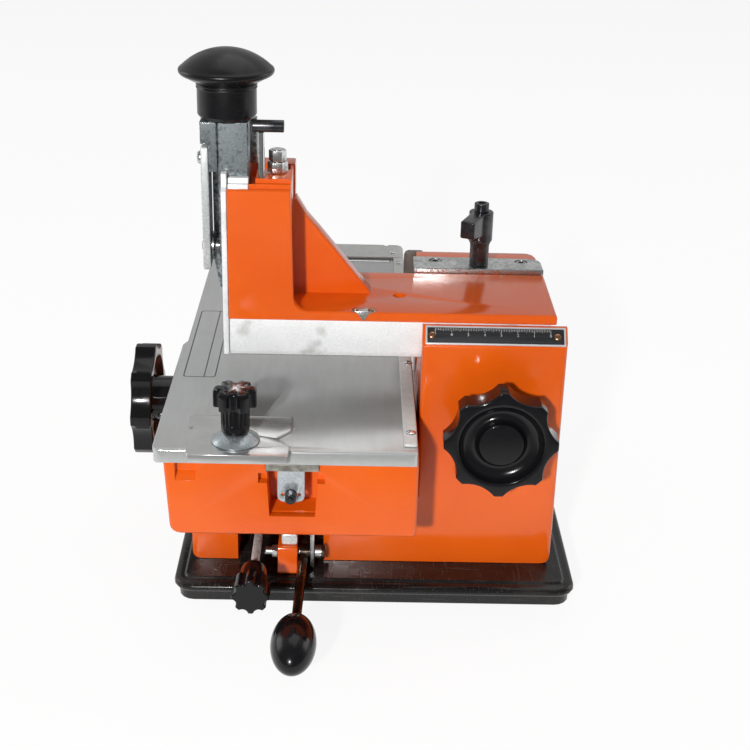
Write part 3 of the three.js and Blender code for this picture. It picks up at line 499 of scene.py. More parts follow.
# Rear guard: a folded steel sheet in grey-brown paint, with a little grime on it. It is screwed
# to the back of the tower, beside the table.


def guard_paint():
    finish = Finish("guard_paint")
    grime = finish.place.noise(60, 5).ranged(0.35, 0.75)
    return finish.set(
        Base_Color=grime.tint((0.1, 0.085, 0.072), (0.06, 0.05, 0.042)),
        Roughness=grime.ranged(0, 1, 0.34, 0.5),
        Normal=finish.place.noise(900, 2).bump(0.03, 0.4),
    )


broken_edges("rear_guard", "machine_frame", guard_paint(), "black_oxide", edge=0.5)


# Rear clamp bar: a ground steel bar, zinc plated, on the tower's ledge behind the beam. Two cap
# screws hold it down in counterbores, and their rims stay dark with grease.


def socket_screw(name, seat, along, body, finish, slot, *stands_for, radius, height, flats):
    """A cap screw's head: turned, its top edge rounded, with a six-sided socket."""
    edge = 0.16 * radius
    profile = [
        (0, 0), (radius, 0),
        *bent((radius, height - edge), (radius, height), (radius - edge, height), 5),
        (radius - edge, height), (0, height),
    ]
    head = spun(name, profile, seat, along, steps=64)
    middle = seat + Vector(along).normalized() * height * MM
    corner = flats / math.sqrt(3)
    cut(head, drum("socket", middle, along, radius=corner, depth=height, sides=6))
    return dress(head, body, finish, slot, *stands_for)


zinc = plated("zinc_plate", (0.4, 0.41, 0.4), (0.7, 0.71, 0.7), 0.24, 0.4)
oily_steel = plated("oily_steel", (0.2, 0.2, 0.2), (0.5, 0.5, 0.49), 0.22, 0.36)
broken_edges("rear_clamp_bar", "machine_frame", zinc, "zinc_plate", edge=0.35, segments=3)
for side, x in (("left", 36.8), ("right", 93.6)):
    name = "clamp_bar_screw_" + side
    socket_screw(name + "_finished", at(x, 98.5, 200.7), UP, "machine_frame", oily_steel, "steel",
                 name, radius=3.6, height=2.7, flats=3.4)


# Clamp lever: a turned steel stem with a short tapered arm, blacked in hot oxide, on a stud that
# draws the clamp bar down. A cap screw holds it on the stud at any angle.

lever_x, lever_y = 65, 92.3


def tapered_arm(name, low, high, drop, edge):
    """A block that grows taller by drop towards its back end, with all its edges rounded."""
    arm = block(name, low, high)
    half_way = (low[1] + high[1]) / 2 * MM
    half_high = (low[2] + high[2]) / 2 * MM
    take(arm)
    bpy.ops.object.mode_set(mode="EDIT")
    mesh = bmesh.from_edit_mesh(arm.data)
    for vert in mesh.verts:
        vert.select_set(vert.co.y > half_way and vert.co.z < half_high)
    mesh.select_flush(True)
    bmesh.update_edit_mesh(arm.data)
    bpy.ops.transform.translate(value=(0, 0, -drop * MM))
    bpy.ops.object.mode_set(mode="OBJECT")
    modify(arm, "BEVEL", width=edge * MM, segments=4)
    return arm


def black_oxide():
    finish = Finish("black_oxide")
    oil = finish.place.noise(90, 4)
    return finish.set(
        Base_Color=oil.ranged(0.35, 0.7).tint((0.045, 0.046, 0.05), (0.1, 0.1, 0.105)),
        Metallic=0.75,
        Roughness=oil.ranged(0.3, 0.7, 0.2, 0.32),
        Normal=finish.place.noise(700, 2, stretch=(1, 1, 0.2)).bump(0.02, 0.4),
    )


oxide = black_oxide()
stem_profile = [
    (0, 204), *bent((5.6, 204), (6.2, 204), (6.2, 204.6), 4), (6.2, 216.6),
    *bent((6.2, 217), (6.6, 219.6), (7.9, 221)), (7.9, 221), (7.9, 238.8),
    *bent((7.9, 239), (7.9, 240), (6.9, 240), 5), (6.9, 240), (0, 240),
]
stem = spun("clamp_lever_finished", stem_profile, at(lever_x, lever_y, 0))
arm = tapered_arm("arm", (-4.7, -26.5, 229), (4.7, 0, 240.2), drop=5.6, edge=1.1)
arm.matrix_world = (
    Matrix.Translation(at(64.6, lever_y, 0)) @ Matrix.Rotation(math.radians(-22.8), 4, "Z")
)
dress(cut(stem, arm, "UNION"), "clamp_lever", oxide, "black_oxide", "clamp_lever")
stud_profile = [(0, 170), (3.2, 170), (4, 170.8), (4, 203.7), (0, 203.7)]
stud = spun("clamp_stud_finished", stud_profile, at(lever_x, lever_y, 0))
dress(stud, "clamp_lever", steel, "steel", "clamp_stud")
socket_screw("clamp_lever_screw_finished", at(lever_x, lever_y, 240.3), UP, "clamp_lever", oxide,
             "black_oxide", "clamp_lever_screw", radius=4.8, height=5.3, flats=4.8)


# Beam casting: the same orange iron, a long flat plate with the upright head and its gusset cast
# on. A cap screw deep in the plate's hole draws the dovetail slide up against it from below.

broken_edges("beam_casting", "beam", orange, "orange_enamel", edge=0.8, segments=3, smooth=40)
socket_screw("slide_screw", at(11.8, 40, 193.6), UP, "beam", oily_steel, "steel",
             radius=3.4, height=3.4, flats=3.2)


# Dovetail slide, end plate and front gib: milled steel faces, nearly white, with a fine speckle
# left by the plating, and painted shade underneath. They carry the beam along the housing.

slide_underside = at(0, 0, 170).z


def ground_bright():
    finish = Finish("ground_bright")
    spangle = finish.place.noise(700, 3)
    worn = (spangle * 0.5 + finish.place.noise(60, 4) * 0.5).ranged(0.36, 0.64)
    height = finish.place.node("SeparateXYZ", None, {"Vector": finish.place}, output=2)
    # Painted shade: faces at the slide's underside, up to 0.7 mm above it, are coloured dark brown.
    underside_shade = height.ranged(slide_underside + 0.1 * MM, slide_underside + 0.7 * MM, 1, 0)
    stains = finish.place.noise(38, 6).ranged(0.56, 0.7)
    milled = worn.tint((0.84, 0.85, 0.85), (0.96, 0.965, 0.965))
    clean = stains.tint(milled, (0.56, 0.56, 0.54))
    return finish.set(
        Base_Color=underside_shade.tint(clean, (0.09, 0.075, 0.065)),
        Metallic=0.25,
        Roughness=worn.ranged(0, 1, 0.56, 0.44),
        Normal=spangle.bump(0.02, 0.4),
    )


ground = ground_bright()
for node in ("dovetail_slide", "end_plate", "front_gib"):
    broken_edges(node, "beam", ground, "zinc_plate", edge=0.35, segments=3)
broken_edges("beam_rack", "beam", steel, "steel", edge=0.1, segments=1)


# Pointer: a bent sheet arrow that hangs over the beam's front edge to the scale. It is zinc
# plated and lies under two low copper-coloured screws.

broken_edges("pointer", "beam", zinc, "zinc_plate", edge=0.15)
for side, x, turn in (("left", -15.4, 40), ("right", -5.9, 75)):
    slotted_screw("pointer_screw_" + side, at(x, 11.1, 201.6), UP, "beam", copper, "scale_frame",
                  radius=1.9, height=1.2, turn=turn)


# Head bolt and lock nut: a six-sided bolt that sets the ram's stop on the head's top, with its
# nut run down to the casting. Both have turned corners and mottled plating.

bolt_x, bolt_y = -63, 31


def hexed(name, seat, along, *, flats, height, turn=0):
    """A six-sided head or nut from seat upwards, with the corners of its top turned off."""
    corner = flats / math.sqrt(3)
    drop = (corner - flats / 2) * math.tan(math.radians(32))
    middle = seat + Vector(along).normalized() * height / 2 * MM
    head = drum(name, middle, along, radius=corner, depth=height, sides=6)
    bpy.ops.transform.rotate(
        value=math.radians(turn), orient_axis="Z", center_override=tuple(middle)
    )
    lens_profile = [
        (0, -1), (corner + 1, -1), (corner + 1, height - drop * 2),
        (flats / 2 * 0.95, height + 0.05), (0, height + 0.05),
    ]
    cut(head, spun("lens", lens_profile, seat, along), "INTERSECT")
    round_edges(head, 0.12, sharper_than=40)
    return head


bolt = hexed("head_bolt_finished", at(bolt_x, bolt_y, 288), UP, flats=9.2, height=6.6, turn=30)
shank_profile = [(0, 252), (2.6, 252), (3, 252.5), (3, 288.5), (0, 288.5)]
cut(bolt, spun("shank", shank_profile, at(bolt_x, bolt_y, 0)), "UNION")
dress(bolt, "beam", zinc, "zinc_plate", "head_bolt")
nut_seat = at(bolt_x, bolt_y, 281.3)
nut = hexed("head_lock_nut_finished", nut_seat, UP, flats=10.6, height=6.3, turn=30)
cut(nut, drum("thread_hole", at(bolt_x, bolt_y, 285), UP, radius=3.4, depth=20))
dress(nut, "beam", zinc, "zinc_plate", "head_lock_nut")


# Lock pin: a bright ground pin in the head with a blacked cross bar pressed on its top. It is
# turned by hand to free or hold the ram.

ACROSS = (1, 0, 0)
pin_y = 19.6

chrome = plated("bright_pin", (0.62, 0.62, 0.62), (0.82, 0.82, 0.81), 0.08, 0.16,
                grain=500, bump=0.01)
pin_profile = [(0, 262), (1.65, 262), (2.05, 262.4), (2.05, 307.7), (0, 307.7)]
lock_pin = spun("lock_pin_finished", pin_profile, at(-71.9, pin_y, 0))
dress(lock_pin, "lock_pin", chrome, "steel", "lock_pin")
bar_profile = [
    (0, -77.1), *bent((2.8, -77.1), (3.6, -77.1), (3.6, -76.3), 5), (3.6, -76.3),
    (3.6, -59.3), *bent((3.6, -59.3), (3.6, -58.5), (2.8, -58.5), 5), (2.8, -58.5), (0, -58.5),
]
cross_bar = spun("lock_pin_handle_finished", bar_profile, at(0, pin_y, 311.3), ACROSS)
dress(cross_bar, "lock_pin", oxide, "black_oxide", "lock_pin_handle")


# Ram: milled steel blocks, zinc plated, that slide down the head's open side. The arm plate
# stands on the side block's spacer, and a cross shaft and a round-headed screw go through it into
# the ram. The wound return spring sits in the head.

ram_y = 32
arm_screw_z, shaft_z = 288.6, 234

frosted = plated("frosted_zinc", (0.6, 0.62, 0.62), (0.84, 0.86, 0.85), 0.3, 0.44,
                 grain=620, bump=0.04, metallic=0.6)
blue_zinc = plated("blue_grey_zinc", (0.13, 0.15, 0.16), (0.44, 0.485, 0.5), 0.26, 0.44,
                   grain=480, bump=0.05, metallic=0.8)
for node, plating in (("ram_slide", blue_zinc), ("ram_side_block", blue_zinc),
                      ("arm_plate", frosted)):
    broken_edges(node, "ram", plating, "zinc_plate", edge=0.5, segments=3)
arm_screw_profile = [
    (0, -110.6), *bent((2.6, -110.6), (3.7, -110.2), (3.9, -109)), (3.9, -109),
    (3.9, -107.9), (2, -107.9), (2, -99.5), (0, -99.5),
]
arm_screw = spun("arm_screw_finished", arm_screw_profile, at(0, ram_y, arm_screw_z), ACROSS)
socket_mouth = at(-110.6, ram_y, arm_screw_z)
cut(arm_screw, drum("socket", socket_mouth, ACROSS, radius=1.5, depth=2.4, sides=6))
dress(arm_screw, "ram", zinc, "zinc_plate", "arm_screw")
shaft_profile = [
    (0, -109), (2.5, -109), (3, -108.5), (3, -102.8), (8, -102.8), (8.6, -102.4), (8.6, -101.4),
    (8, -101), (4.4, -101), (4.4, -98.6), (3, -98.6), (3, -85), (0, -85),
]
cross_shaft = spun("cross_shaft_finished", shaft_profile, at(0, ram_y, shaft_z), ACROSS)
dress(cross_shaft, "ram", oily_steel, "steel", "cross_shaft")
spring = solid_copy("ram_return_spring")
bpy.ops.object.shade_smooth_by_angle(angle=math.radians(60))
spring.data.materials.clear()
spring.data.materials.append(steel)
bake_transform(spring)
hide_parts("ram_return_spring")


# Palm knob: a broad shallow dome in polished black thermoset, turned all over, on a stout neck
# with a double bead. The operator strikes or leans on it with the palm.

crown_radius = 38
crown_edge = 26.6
crown_centre = 353.4 - crown_radius


def black_thermoset(name, smooth_part, worn_part):
    finish = Finish(name)
    smears = finish.place.noise(70, 4).ranged(0.4, 0.75)
    dust = finish.place.noise(1500, 2).ranged(0.7, 0.78)
    return finish.set(
        Base_Color=dust.tint((0.0065, 0.0065, 0.0075), (0.04, 0.04, 0.042)),
        Roughness=smears.ranged(0, 1, smooth_part, worn_part),
        Specular_IOR_Level=0.32,
        Normal=finish.place.noise(60, 1).bump(0.2, 0.25),
    )


def crown_point(radius):
    """A point of the dome's round section at a radius from its middle."""
    return radius, crown_centre + math.sqrt(crown_radius**2 - radius**2)


worn_thermoset = black_thermoset("worn_thermoset", 0.26, 0.4)
knob_profile = [
    (0, 312.9), *bent((14.6, 312.9), (15.4, 312.9), (16, 313.6), 4), (16, 313.6), (17.4, 315.6),
]
for bead in (330.6, 332.3):
    knob_profile.append((17.4, bead))
    knob_profile += bent((17.5, bead), (18.3, bead + 0.6), (17.5, bead + 1.2), 6)
knob_profile += [
    (17.5, 333.6), *bent((17.9, 334), (22, 336), (24.3, 337.4)),
    *bent((24.3, 337.4), (27.9, 338.6), (27.9, 340.6)),
    *bent((27.9, 340.6), (27.9, crown_point(27.2)[1]), crown_point(crown_edge)),
]
for number in range(25):
    knob_profile.append(crown_point(crown_edge * (1 - number / 24)))
palm_knob = spun("palm_knob_finished", knob_profile, at(-92.4, ram_y, 0), steps=144)
dress(palm_knob, "ram", worn_thermoset, "black_knob", "palm_knob", smooth=28)


# Handwheels: black thermoset discs with eight scooped finger hollows and a dished face round a
# flat boss. The one on the tower winds the beam across, and the one on the left winds the table.

scallop_steps = 160
table_wheel_y, table_wheel_z = 87.3, 105


def scoop(piece, middle, along, out, *, lobes, rim, skin, reach, cutter, low, high):
    """Draws a turned rim in to round hollows, down to skin under it and from low to high along
    the axis. The cutter's radius and its middle's reach are shares of the rim's radius."""
    along = Vector(along)
    out = Vector(out)
    side = along.cross(out)
    columns = {}
    for vert in piece.data.vertices:
        height = (vert.co - middle).dot(along)
        flat = vert.co - middle - along * height
        if low * MM <= height <= high * MM and flat.length > (rim - skin) * MM:
            angle = math.atan2(flat.dot(side), flat.dot(out))
            column = round(angle * scallop_steps / (2 * math.pi)) % scallop_steps
            columns.setdefault(column, []).append(vert.index)
    take(piece)
    bpy.ops.object.mode_set(mode="EDIT")
    pitch = 2 * math.pi / lobes
    for column, members in columns.items():
        angle = 2 * math.pi * column / scallop_steps
        off = angle % pitch - pitch / 2
        inside = cutter**2 - (reach * math.sin(off)) ** 2
        depth = 1 - reach * math.cos(off) + math.sqrt(max(inside, 0))
        if inside <= 0 or depth <= 0:
            continue
        bpy.ops.mesh.select_all(action="DESELECT")
        mesh = bmesh.from_edit_mesh(piece.data)
        mesh.verts.ensure_lookup_table()
        for member in members:
            mesh.verts[member].select_set(True)
        inwards = -(out * math.cos(angle) + side * math.sin(angle))
        bpy.ops.transform.translate(value=inwards * depth * rim * MM)
    bpy.ops.object.mode_set(mode="OBJECT")
    return piece


def handwheel(node, face, along, body, radius, depth, hub_radius, hub_end):
    """A scalloped wheel whose face lies at a point, with its hub running along into the machine."""
    r = radius
    web = depth - 3.4
    profile = [
        (0, 1.2), *bent((0.37 * r, 1.2), (0.388 * r, 1.2), (0.392 * r, 2), 5),  # boss
        *bent((0.392 * r, 2), (0.41 * r, 7), (0.54 * r, 6.8), 12),  # dish
        *bent((0.54 * r, 6.8), (0.69 * r, 6.4), (0.735 * r, 1.3), 14),
        *bent((0.735 * r, 1.3), (0.742 * r, 0), (0.765 * r, 0), 6), (0.8 * r, 0),  # lip
        *bent((r - 1.3, 0), (r, 0), (r, 1.3), 6), (r, 1.3),  # rim
        *bent((r, depth - 1.3), (r, depth), (r - 1.3, depth), 6), (r - 1.3, depth),
        (0.78 * r, depth), (0.7 * r, web), (hub_radius + 1, web), (hub_radius, depth - 1),  # back
        (hub_radius, hub_end - 0.8), (hub_radius - 0.8, hub_end),  # hub and its bore
        (6.3, hub_end), (6.3, 8.5), (0, 8.5),
    ]
    wheel = spun(node + "_finished", profile, face, along, UP, scallop_steps)
    scoop(wheel, face, along, UP, lobes=8, rim=r, skin=1.4, reach=1.5, cutter=0.63,
          low=-0.1, high=depth + 0.1)
    return dress(wheel, body, thermoset, "black_knob", node, smooth=30)


thermoset = black_thermoset("black_thermoset", 0.12, 0.24)
handwheel("beam_handwheel", at(beam_wheel_x, -38, beam_wheel_z), BACK, "beam_wheel",
          radius=34.3, depth=15.5, hub_radius=13, hub_end=33.8)
handwheel("table_handwheel", at(-161.8, table_wheel_y, table_wheel_z), ACROSS, "table_wheel",
          radius=38.5, depth=13.5, hub_radius=15, hub_end=34.3)
for body in ("beam_wheel", "table_wheel"):
    broken_edges(body + "_shaft", body, steel, "steel", edge=0.1, segments=1)
screw_angle = math.radians(28)
outwards = Vector((0, -math.cos(screw_angle), -math.sin(screw_angle)))
screw_seat = at(-144.6, table_wheel_y, table_wheel_z) + outwards * 14.4 * MM
socket_screw("table_wheel_set_screw", screw_seat, outwards, "table_wheel", chrome, "steel",
             radius=2.4, height=1.0, flats=2)


# Carriage: an orange casting, inverted like a tray over the bed rails, with a milled pocket in
# its front for the slide bar and a sloping notch at its top left.

broken_edges("carriage", "carriage", orange, "orange_enamel", edge=0.9, segments=3, smooth=40)


# Table plate and its strips: satin grey plated sheet, folded down at the front. A gauge strip
# lies along the right and a notched one across the back, with low screws, and a rod lies in the
# slot.

table_top = 141
strip_thickness = 2


def table_sheet():
    finish = Finish("table_sheet")
    cloud = finish.place.noise(26, 5)
    fine = finish.place.noise(1300, 2)
    wiped = finish.place.noise(220, 2, stretch=(1, 0.12, 1))
    tone = (cloud * 0.6 + wiped * 0.4).ranged(0.3, 0.7)
    return finish.set(
        Base_Color=tone.tint((0.51, 0.525, 0.515), (0.58, 0.595, 0.585)),
        Metallic=0.5,
        Roughness=tone.ranged(0, 1, 0.24, 0.18) + fine * 0.04,
        Normal=fine.bump(0.008, 0.3, cloud.bump(0.1, 0.08)),
    )


broken_edges("table_plate", "carriage", table_sheet(), "table_sheet", edge=0.35, segments=3)
strip_zinc = plated("strip_zinc", (0.68, 0.69, 0.67), (0.78, 0.79, 0.77), 0.36, 0.46,
                    grain=900, bump=0.008, metallic=0.25)
for node in ("gauge_strip", "rear_strip"):
    broken_edges(node, "carriage", strip_zinc, "table_sheet", edge=0.35, segments=3)
strip_screws = (  # each one's place, radius and turn
    ("front", 18.7, -36.3, 3.1, 55),
    ("middle", 19.6, 66.8, 3.1, 80),
    ("back", 18, 262.2, 2.6, 20),
    ("rear_right", 14.1, 287, 3, 90),
    ("rear_left", -120, 287, 3, 30),
)
for name, x, y, radius, turn in strip_screws:
    seat = at(x, y, table_top + strip_thickness)
    slotted_screw("strip_screw_" + name, seat, UP, "carriage", chrome, "steel",
                  radius=radius, height=0.9, turn=turn)
rod_profile = [(0, -59.4), (0.9, -59.4), (1.3, -59), (1.3, 11), (0.9, 11.4), (0, 11.4)]
slot_rod = spun("slot_rod", rod_profile, at(0, 272.2, 139.8), ACROSS, steps=32)
dress(slot_rod, "carriage", chrome, "steel")


# Label place: a bare panel on the table's left, with a ruled frame and a line between its two
# columns. Both are printed in dark ink, a few hundredths of a millimetre thick.


def ruled_frame(name, low, high, corner, width):
    """A flat frame line round a rectangle with round corners, given a little thickness."""
    deselect()
    bpy.ops.mesh.primitive_plane_add(size=1, location=(low + high) / 2)
    bpy.ops.transform.resize(value=(high.x - low.x, high.y - low.y, 1))
    bpy.ops.object.transform_apply(location=True, rotation=True, scale=True)
    piece = bpy.context.object
    piece.name = name
    bpy.ops.object.mode_set(mode="EDIT")
    bpy.ops.mesh.select_all(action="SELECT")
    bpy.ops.mesh.bevel(offset=corner * MM, segments=8, affect="VERTICES")
    bpy.ops.mesh.select_all(action="SELECT")
    bpy.ops.mesh.inset(thickness=width * MM)
    bpy.ops.mesh.delete(type="FACE")
    bpy.ops.object.mode_set(mode="OBJECT")
    modify(piece, "SOLIDIFY", thickness=0.05 * MM, offset=0)
    return piece


def dark_ink():
    finish = Finish("dark_ink")
    worn = finish.place.noise(500, 3).ranged(0.4, 0.75)
    return finish.set(
        Base_Color=worn.tint((0.02, 0.023, 0.027), (0.1, 0.1, 0.1)),
        Roughness=0.5,
    )


frame_low = at(-125.3, 43, table_top + 0.02)
frame_high = at(-104.4, 158, table_top + 0.02)
label_frame = ruled_frame("label_frame", frame_low, frame_high, corner=2.6, width=0.7)
divider_low = at(-112.1, 43.4, table_top - 0.01)
divider_high = at(-111.45, 157.6, table_top + 0.05)
divider = block("divider", divider_low / MM, divider_high / MM)
dress(joined([label_frame, divider], "label_frame"), "carriage", dark_ink(), "scale_black")


# Pocket pieces: a slide bar under the table's front edge, a bent tab bracket with three holes,
# and a spring plunger through the large one. They set where a nameplate's edge comes to rest.

bracket_z = 108

bar_steel = plated("stained_bar", (0.2, 0.185, 0.16), (0.42, 0.4, 0.35), 0.3, 0.44,
                   grain=260, metallic=0.6)
broken_edges("slide_bar", "carriage", bar_steel, "zinc_plate", edge=0.3, segments=3)
bracket = solid_copy("tab_bracket")
for x in (-56.4, -46.6):
    hole = at(x, -49.4, bracket_z)
    cut(bracket, drum("bracket_hole", hole, BACK, radius=1.15, depth=8, sides=32))
round_edges(bracket, 0.2)
bracket_zinc = plated("satin_bracket", (0.48, 0.52, 0.55), (0.62, 0.66, 0.69), 0.24, 0.32,
                      grain=800, bump=0.01, metallic=0.7)
dress(bracket, "carriage", bracket_zinc, "zinc_plate", "tab_bracket")
plunger_profile = [
    (0, -58.4), *bent((0.6, -58.4), (1.7, -58.2), (1.8, -56.8)), (1.9, -56.8), (2.8, -56.8),
    *bent((2.8, -56.8), (3.3, -56.8), (3.3, -56.2), 4), (3.3, -56.2), (3.3, -44), (0, -44),
]
plunger = spun("bracket_screw_finished", plunger_profile, at(-51.5, 0, bracket_z), BACK)
dress(plunger, "carriage", oxide, "black_oxide", "bracket_screw")


# Nameplate clamp: a polished plate with a folded lip and a V stop, held down by a dished washer
# and a black star knob on a stud from the table.

clamp_axis = at(-83.6, -49.3, 0)

polished = plated("polished_plate", (0.54, 0.55, 0.54), (0.62, 0.63, 0.62), 0.14, 0.2,
                  grain=60, bump=0.005, metallic=0.7)
broken_edges("clamp_plate", "clamp_plate", polished, "zinc_plate", edge=0.3, segments=3)
washer_profile = [
    (3.5, 145.4), (13.9, 143.2), (14.1, 143.3), (14.1, 143.8),
    *bent((14.1, 143.9), (11.6, 146.2), (6.6, 148.4)), (6.6, 148.4), (3.5, 148.4), (3.5, 145.4),
]
washer = spun("dished_washer_finished", washer_profile, clamp_axis)
washer_zinc = plated("washer_zinc", (0.36, 0.4, 0.42), (0.52, 0.57, 0.6), 0.26, 0.36,
                     grain=1000, bump=0.02, metallic=0.75)
dress(washer, "carriage", washer_zinc, "zinc_plate", "dished_washer")
broken_edges("clamp_screw_stud", "carriage", steel, "steel", edge=0.15)
star_radius, neck_radius = 12.6, 8.4
star_profile = [
    (0, 163.5), (3.3, 163.5), (3.3, 148.8), *bent((7.2, 148.8), (8.2, 148.9), (8.3, 151), 5),
    (8.3, 151), (neck_radius, 154.6), (neck_radius, 155.6), (neck_radius, 164), (7.8, 164.8),
    *bent((11.6, 165.1), (star_radius, 165.1), (star_radius, 166.2), 4), (star_radius, 166.2),
    (star_radius, 170), (star_radius, 173.4),
    *bent((star_radius, 173.6), (star_radius, 176.6), (9.6, 176.8)), (9.6, 176.8), (4.5, 177),
    (0, 177),
]
star = spun("clamp_star_knob_finished", star_profile, clamp_axis, UP, ACROSS, scallop_steps)
for skin, low, high in ((1.1, 165, 173), (3.1, 173.3, 176.9)):
    scoop(star, clamp_axis, UP, ACROSS, lobes=6, rim=star_radius, skin=skin, reach=1.05,
          cutter=0.3, low=low, high=high)
scoop(star, clamp_axis, UP, ACROSS, lobes=20, rim=neck_radius, skin=0.3, reach=1.07,
      cutter=0.15, low=155.5, high=164.1)
dress(star, "star_knob", thermoset, "black_knob", "clamp_star_knob", smooth=34)


# Spacing screw: a zinc-plated rod under the table with a deep black star knob, which sets how
# far the feed moves the carriage. The rod has a fine rolled thread with some dirt in it.

spacing_axis = at(-74.6, 0, 50.5)
spacing_radius = 11.6


def threaded_zinc():
    finish = Finish("threaded_zinc")
    rings = {"Vector": finish.place, "Scale": 310.0}
    thread = finish.place.node("TexWave", {"bands_direction": "Y"}, rings, output=1)
    dirt = finish.place.noise(300, 3).ranged(0.4, 0.7)
    return finish.set(
        Base_Color=dirt.tint((0.72, 0.72, 0.7), (0.45, 0.44, 0.42)),
        Metallic=0.3,
        Roughness=dirt.ranged(0, 1, 0.34, 0.5),
        Normal=thread.bump(0.35, 0.8),
    )


broken_edges("spacing_screw", "spacing_screw", threaded_zinc(), "zinc_plate", edge=0.2)
spacing_profile = [
    (0, -73.4), (10.2, -73.4),
    *bent((10.4, -73.4), (spacing_radius, -73.3), (spacing_radius, -72.1), 5),
    (spacing_radius, -72.1), (spacing_radius, -60),
    *bent((spacing_radius, -59.8), (spacing_radius, -58.5), (9.9, -58.5), 5), (9.2, -58.4),
    (8.4, -47), *bent((8.2, -46), (7.9, -42), (6, -42), 5), (6, -42),
    (3, -42), (3, -52.5), (0, -52.5),
]
spacing_knob = spun("spacing_star_knob_finished", spacing_profile, spacing_axis, BACK, ACROSS,
                    scallop_steps)
scoop(spacing_knob, spacing_axis, BACK, ACROSS, lobes=8, rim=spacing_radius, skin=2.2,
      reach=1.15, cutter=0.32, low=-74, high=-58.45)
dress(spacing_knob, "spacing_screw", thermoset, "black_knob", "spacing_star_knob", smooth=34)


# Feed lever: a bronze-brown rod with an eye on the pivot bolt and an oval black knob on its
# front end. Pressing the knob down lifts the pawl beside the eye.

pivot_y, pivot_z = -8, 43.4
eye_middle = at(-44.8, pivot_y, pivot_z)
rod_end = at(-44.8, 18, 43.6)
ball_middle = at(-48, -95.8, 34)
lever_way = (ball_middle - rod_end).normalized()
reach = (ball_middle - rod_end).length / MM
ball_radius, ball_half_length = 13.5, 23.6
ball_mouth = 0.32


def brown_rod():
    finish = Finish("brown_rod")
    wear = finish.place.noise(120, 4).ranged(0.4, 0.7)
    return finish.set(
        Base_Color=wear.tint((0.045, 0.03, 0.022), (0.11, 0.08, 0.06)),
        Metallic=0.85,
        Roughness=wear.ranged(0, 1, 0.18, 0.3),
        Normal=finish.place.noise(700, 2, stretch=(1, 0.1, 1)).bump(0.02, 0.3),
    )


brown = brown_rod()
rod_profile = [(0, 0), (2.6, 0), (3, 0.4), (3, reach - 6), (0, reach - 6)]
lever_rod = spun("feed_lever_rod_finished", rod_profile, rod_end, lever_way, steps=64)
eye_profile = [(0, -3.1), (3.6, -3.1), (3.9, -2.8), (3.9, 2.8), (3.6, 3.1), (0, 3.1)]
cut(lever_rod, spun("eye", eye_profile, eye_middle, ACROSS), "UNION")
cut(lever_rod, drum("eye_bore", eye_middle, ACROSS, radius=2.9, depth=12))
dress(lever_rod, "feed_lever", brown, "dark_rod", "feed_lever_rod")
ball_profile = [(0, reach - 5.5), (3.3, reach - 5.5), (3.3, reach - 22.3)]
for number in range(40):
    turn = ball_mouth + (math.pi - ball_mouth) * number / 40
    ball_profile.append((ball_radius * math.sin(turn), reach - ball_half_length * math.cos(turn)))
ball_profile.append((0, reach + ball_half_length))
ball = spun("feed_lever_ball_finished", ball_profile, rod_end, lever_way, steps=128)
dress(ball, "feed_lever", thermoset, "black_knob", "feed_lever_ball", smooth=40)
broken_edges("feed_pawl", "feed_lever", zinc, "zinc_plate", edge=0.3)


# Feed bracket: a small orange block on the base with a steel pad, bored for the pivot bolt. The
# bolt has a plated collar, a dark head on the right and a lock nut on the left.

pivot_axis = at(0, pivot_y, pivot_z)

broken_edges("feed_bracket", "machine_frame", orange, "orange_enamel", edge=0.6, segments=3)
broken_edges("feed_pad", "machine_frame", frosted, "zinc_plate", edge=0.4, segments=3)
bolt_profile = [
    (0, -67.2), (1.7, -67.2), (2.6, -66.4), (2.6, -38.4), (4, -38.4), (4.3, -38.1),
    (4.3, -34.2), (0, -34.2),
]
pivot_bolt = spun("feed_pivot_bolt_finished", bolt_profile, pivot_axis, ACROSS, steps=64)
dress(pivot_bolt, "machine_frame", zinc, "zinc_plate", "feed_pivot_bolt")
cap_profile = [
    (0, -34.1), (4.5, -34.1), (4.8, -33.8), (4.8, -33),
    *bent((4.8, -32.8), (4.8, -32), (4, -32), 4), (0, -32),
]
pivot_cap = spun("feed_pivot_cap", cap_profile, pivot_axis, ACROSS, steps=64)
dress(pivot_cap, "machine_frame", brown, "dark_rod")
nut_seat = at(-62, pivot_y, pivot_z)
pivot_nut = hexed("feed_pivot_nut_finished", nut_seat, (-1, 0, 0), flats=7.6, height=3.6)
cut(pivot_nut, drum("thread_hole", at(-64, pivot_y, pivot_z), ACROSS, radius=2.9, depth=12))
dress(pivot_nut, "machine_frame", zinc, "zinc_plate", "feed_pivot_nut")


# Floor, light and camera: a pale floor that fades to white, one small key lamp beside the camera,
# weak fills behind, and the camera as it was fitted to the photograph.

WHITE = (1, 1, 1, 1)


def ray_kinds(tree):
    """1 or 0 for rays from the camera, for mirrored rays and for those that go through."""
    path = tree.nodes.new("ShaderNodeLightPath")
    kinds = ("Is Camera Ray", "Is Glossy Ray", "Is Transmission Ray")
    return [Shade(tree, path.outputs[kind]) for kind in kinds]


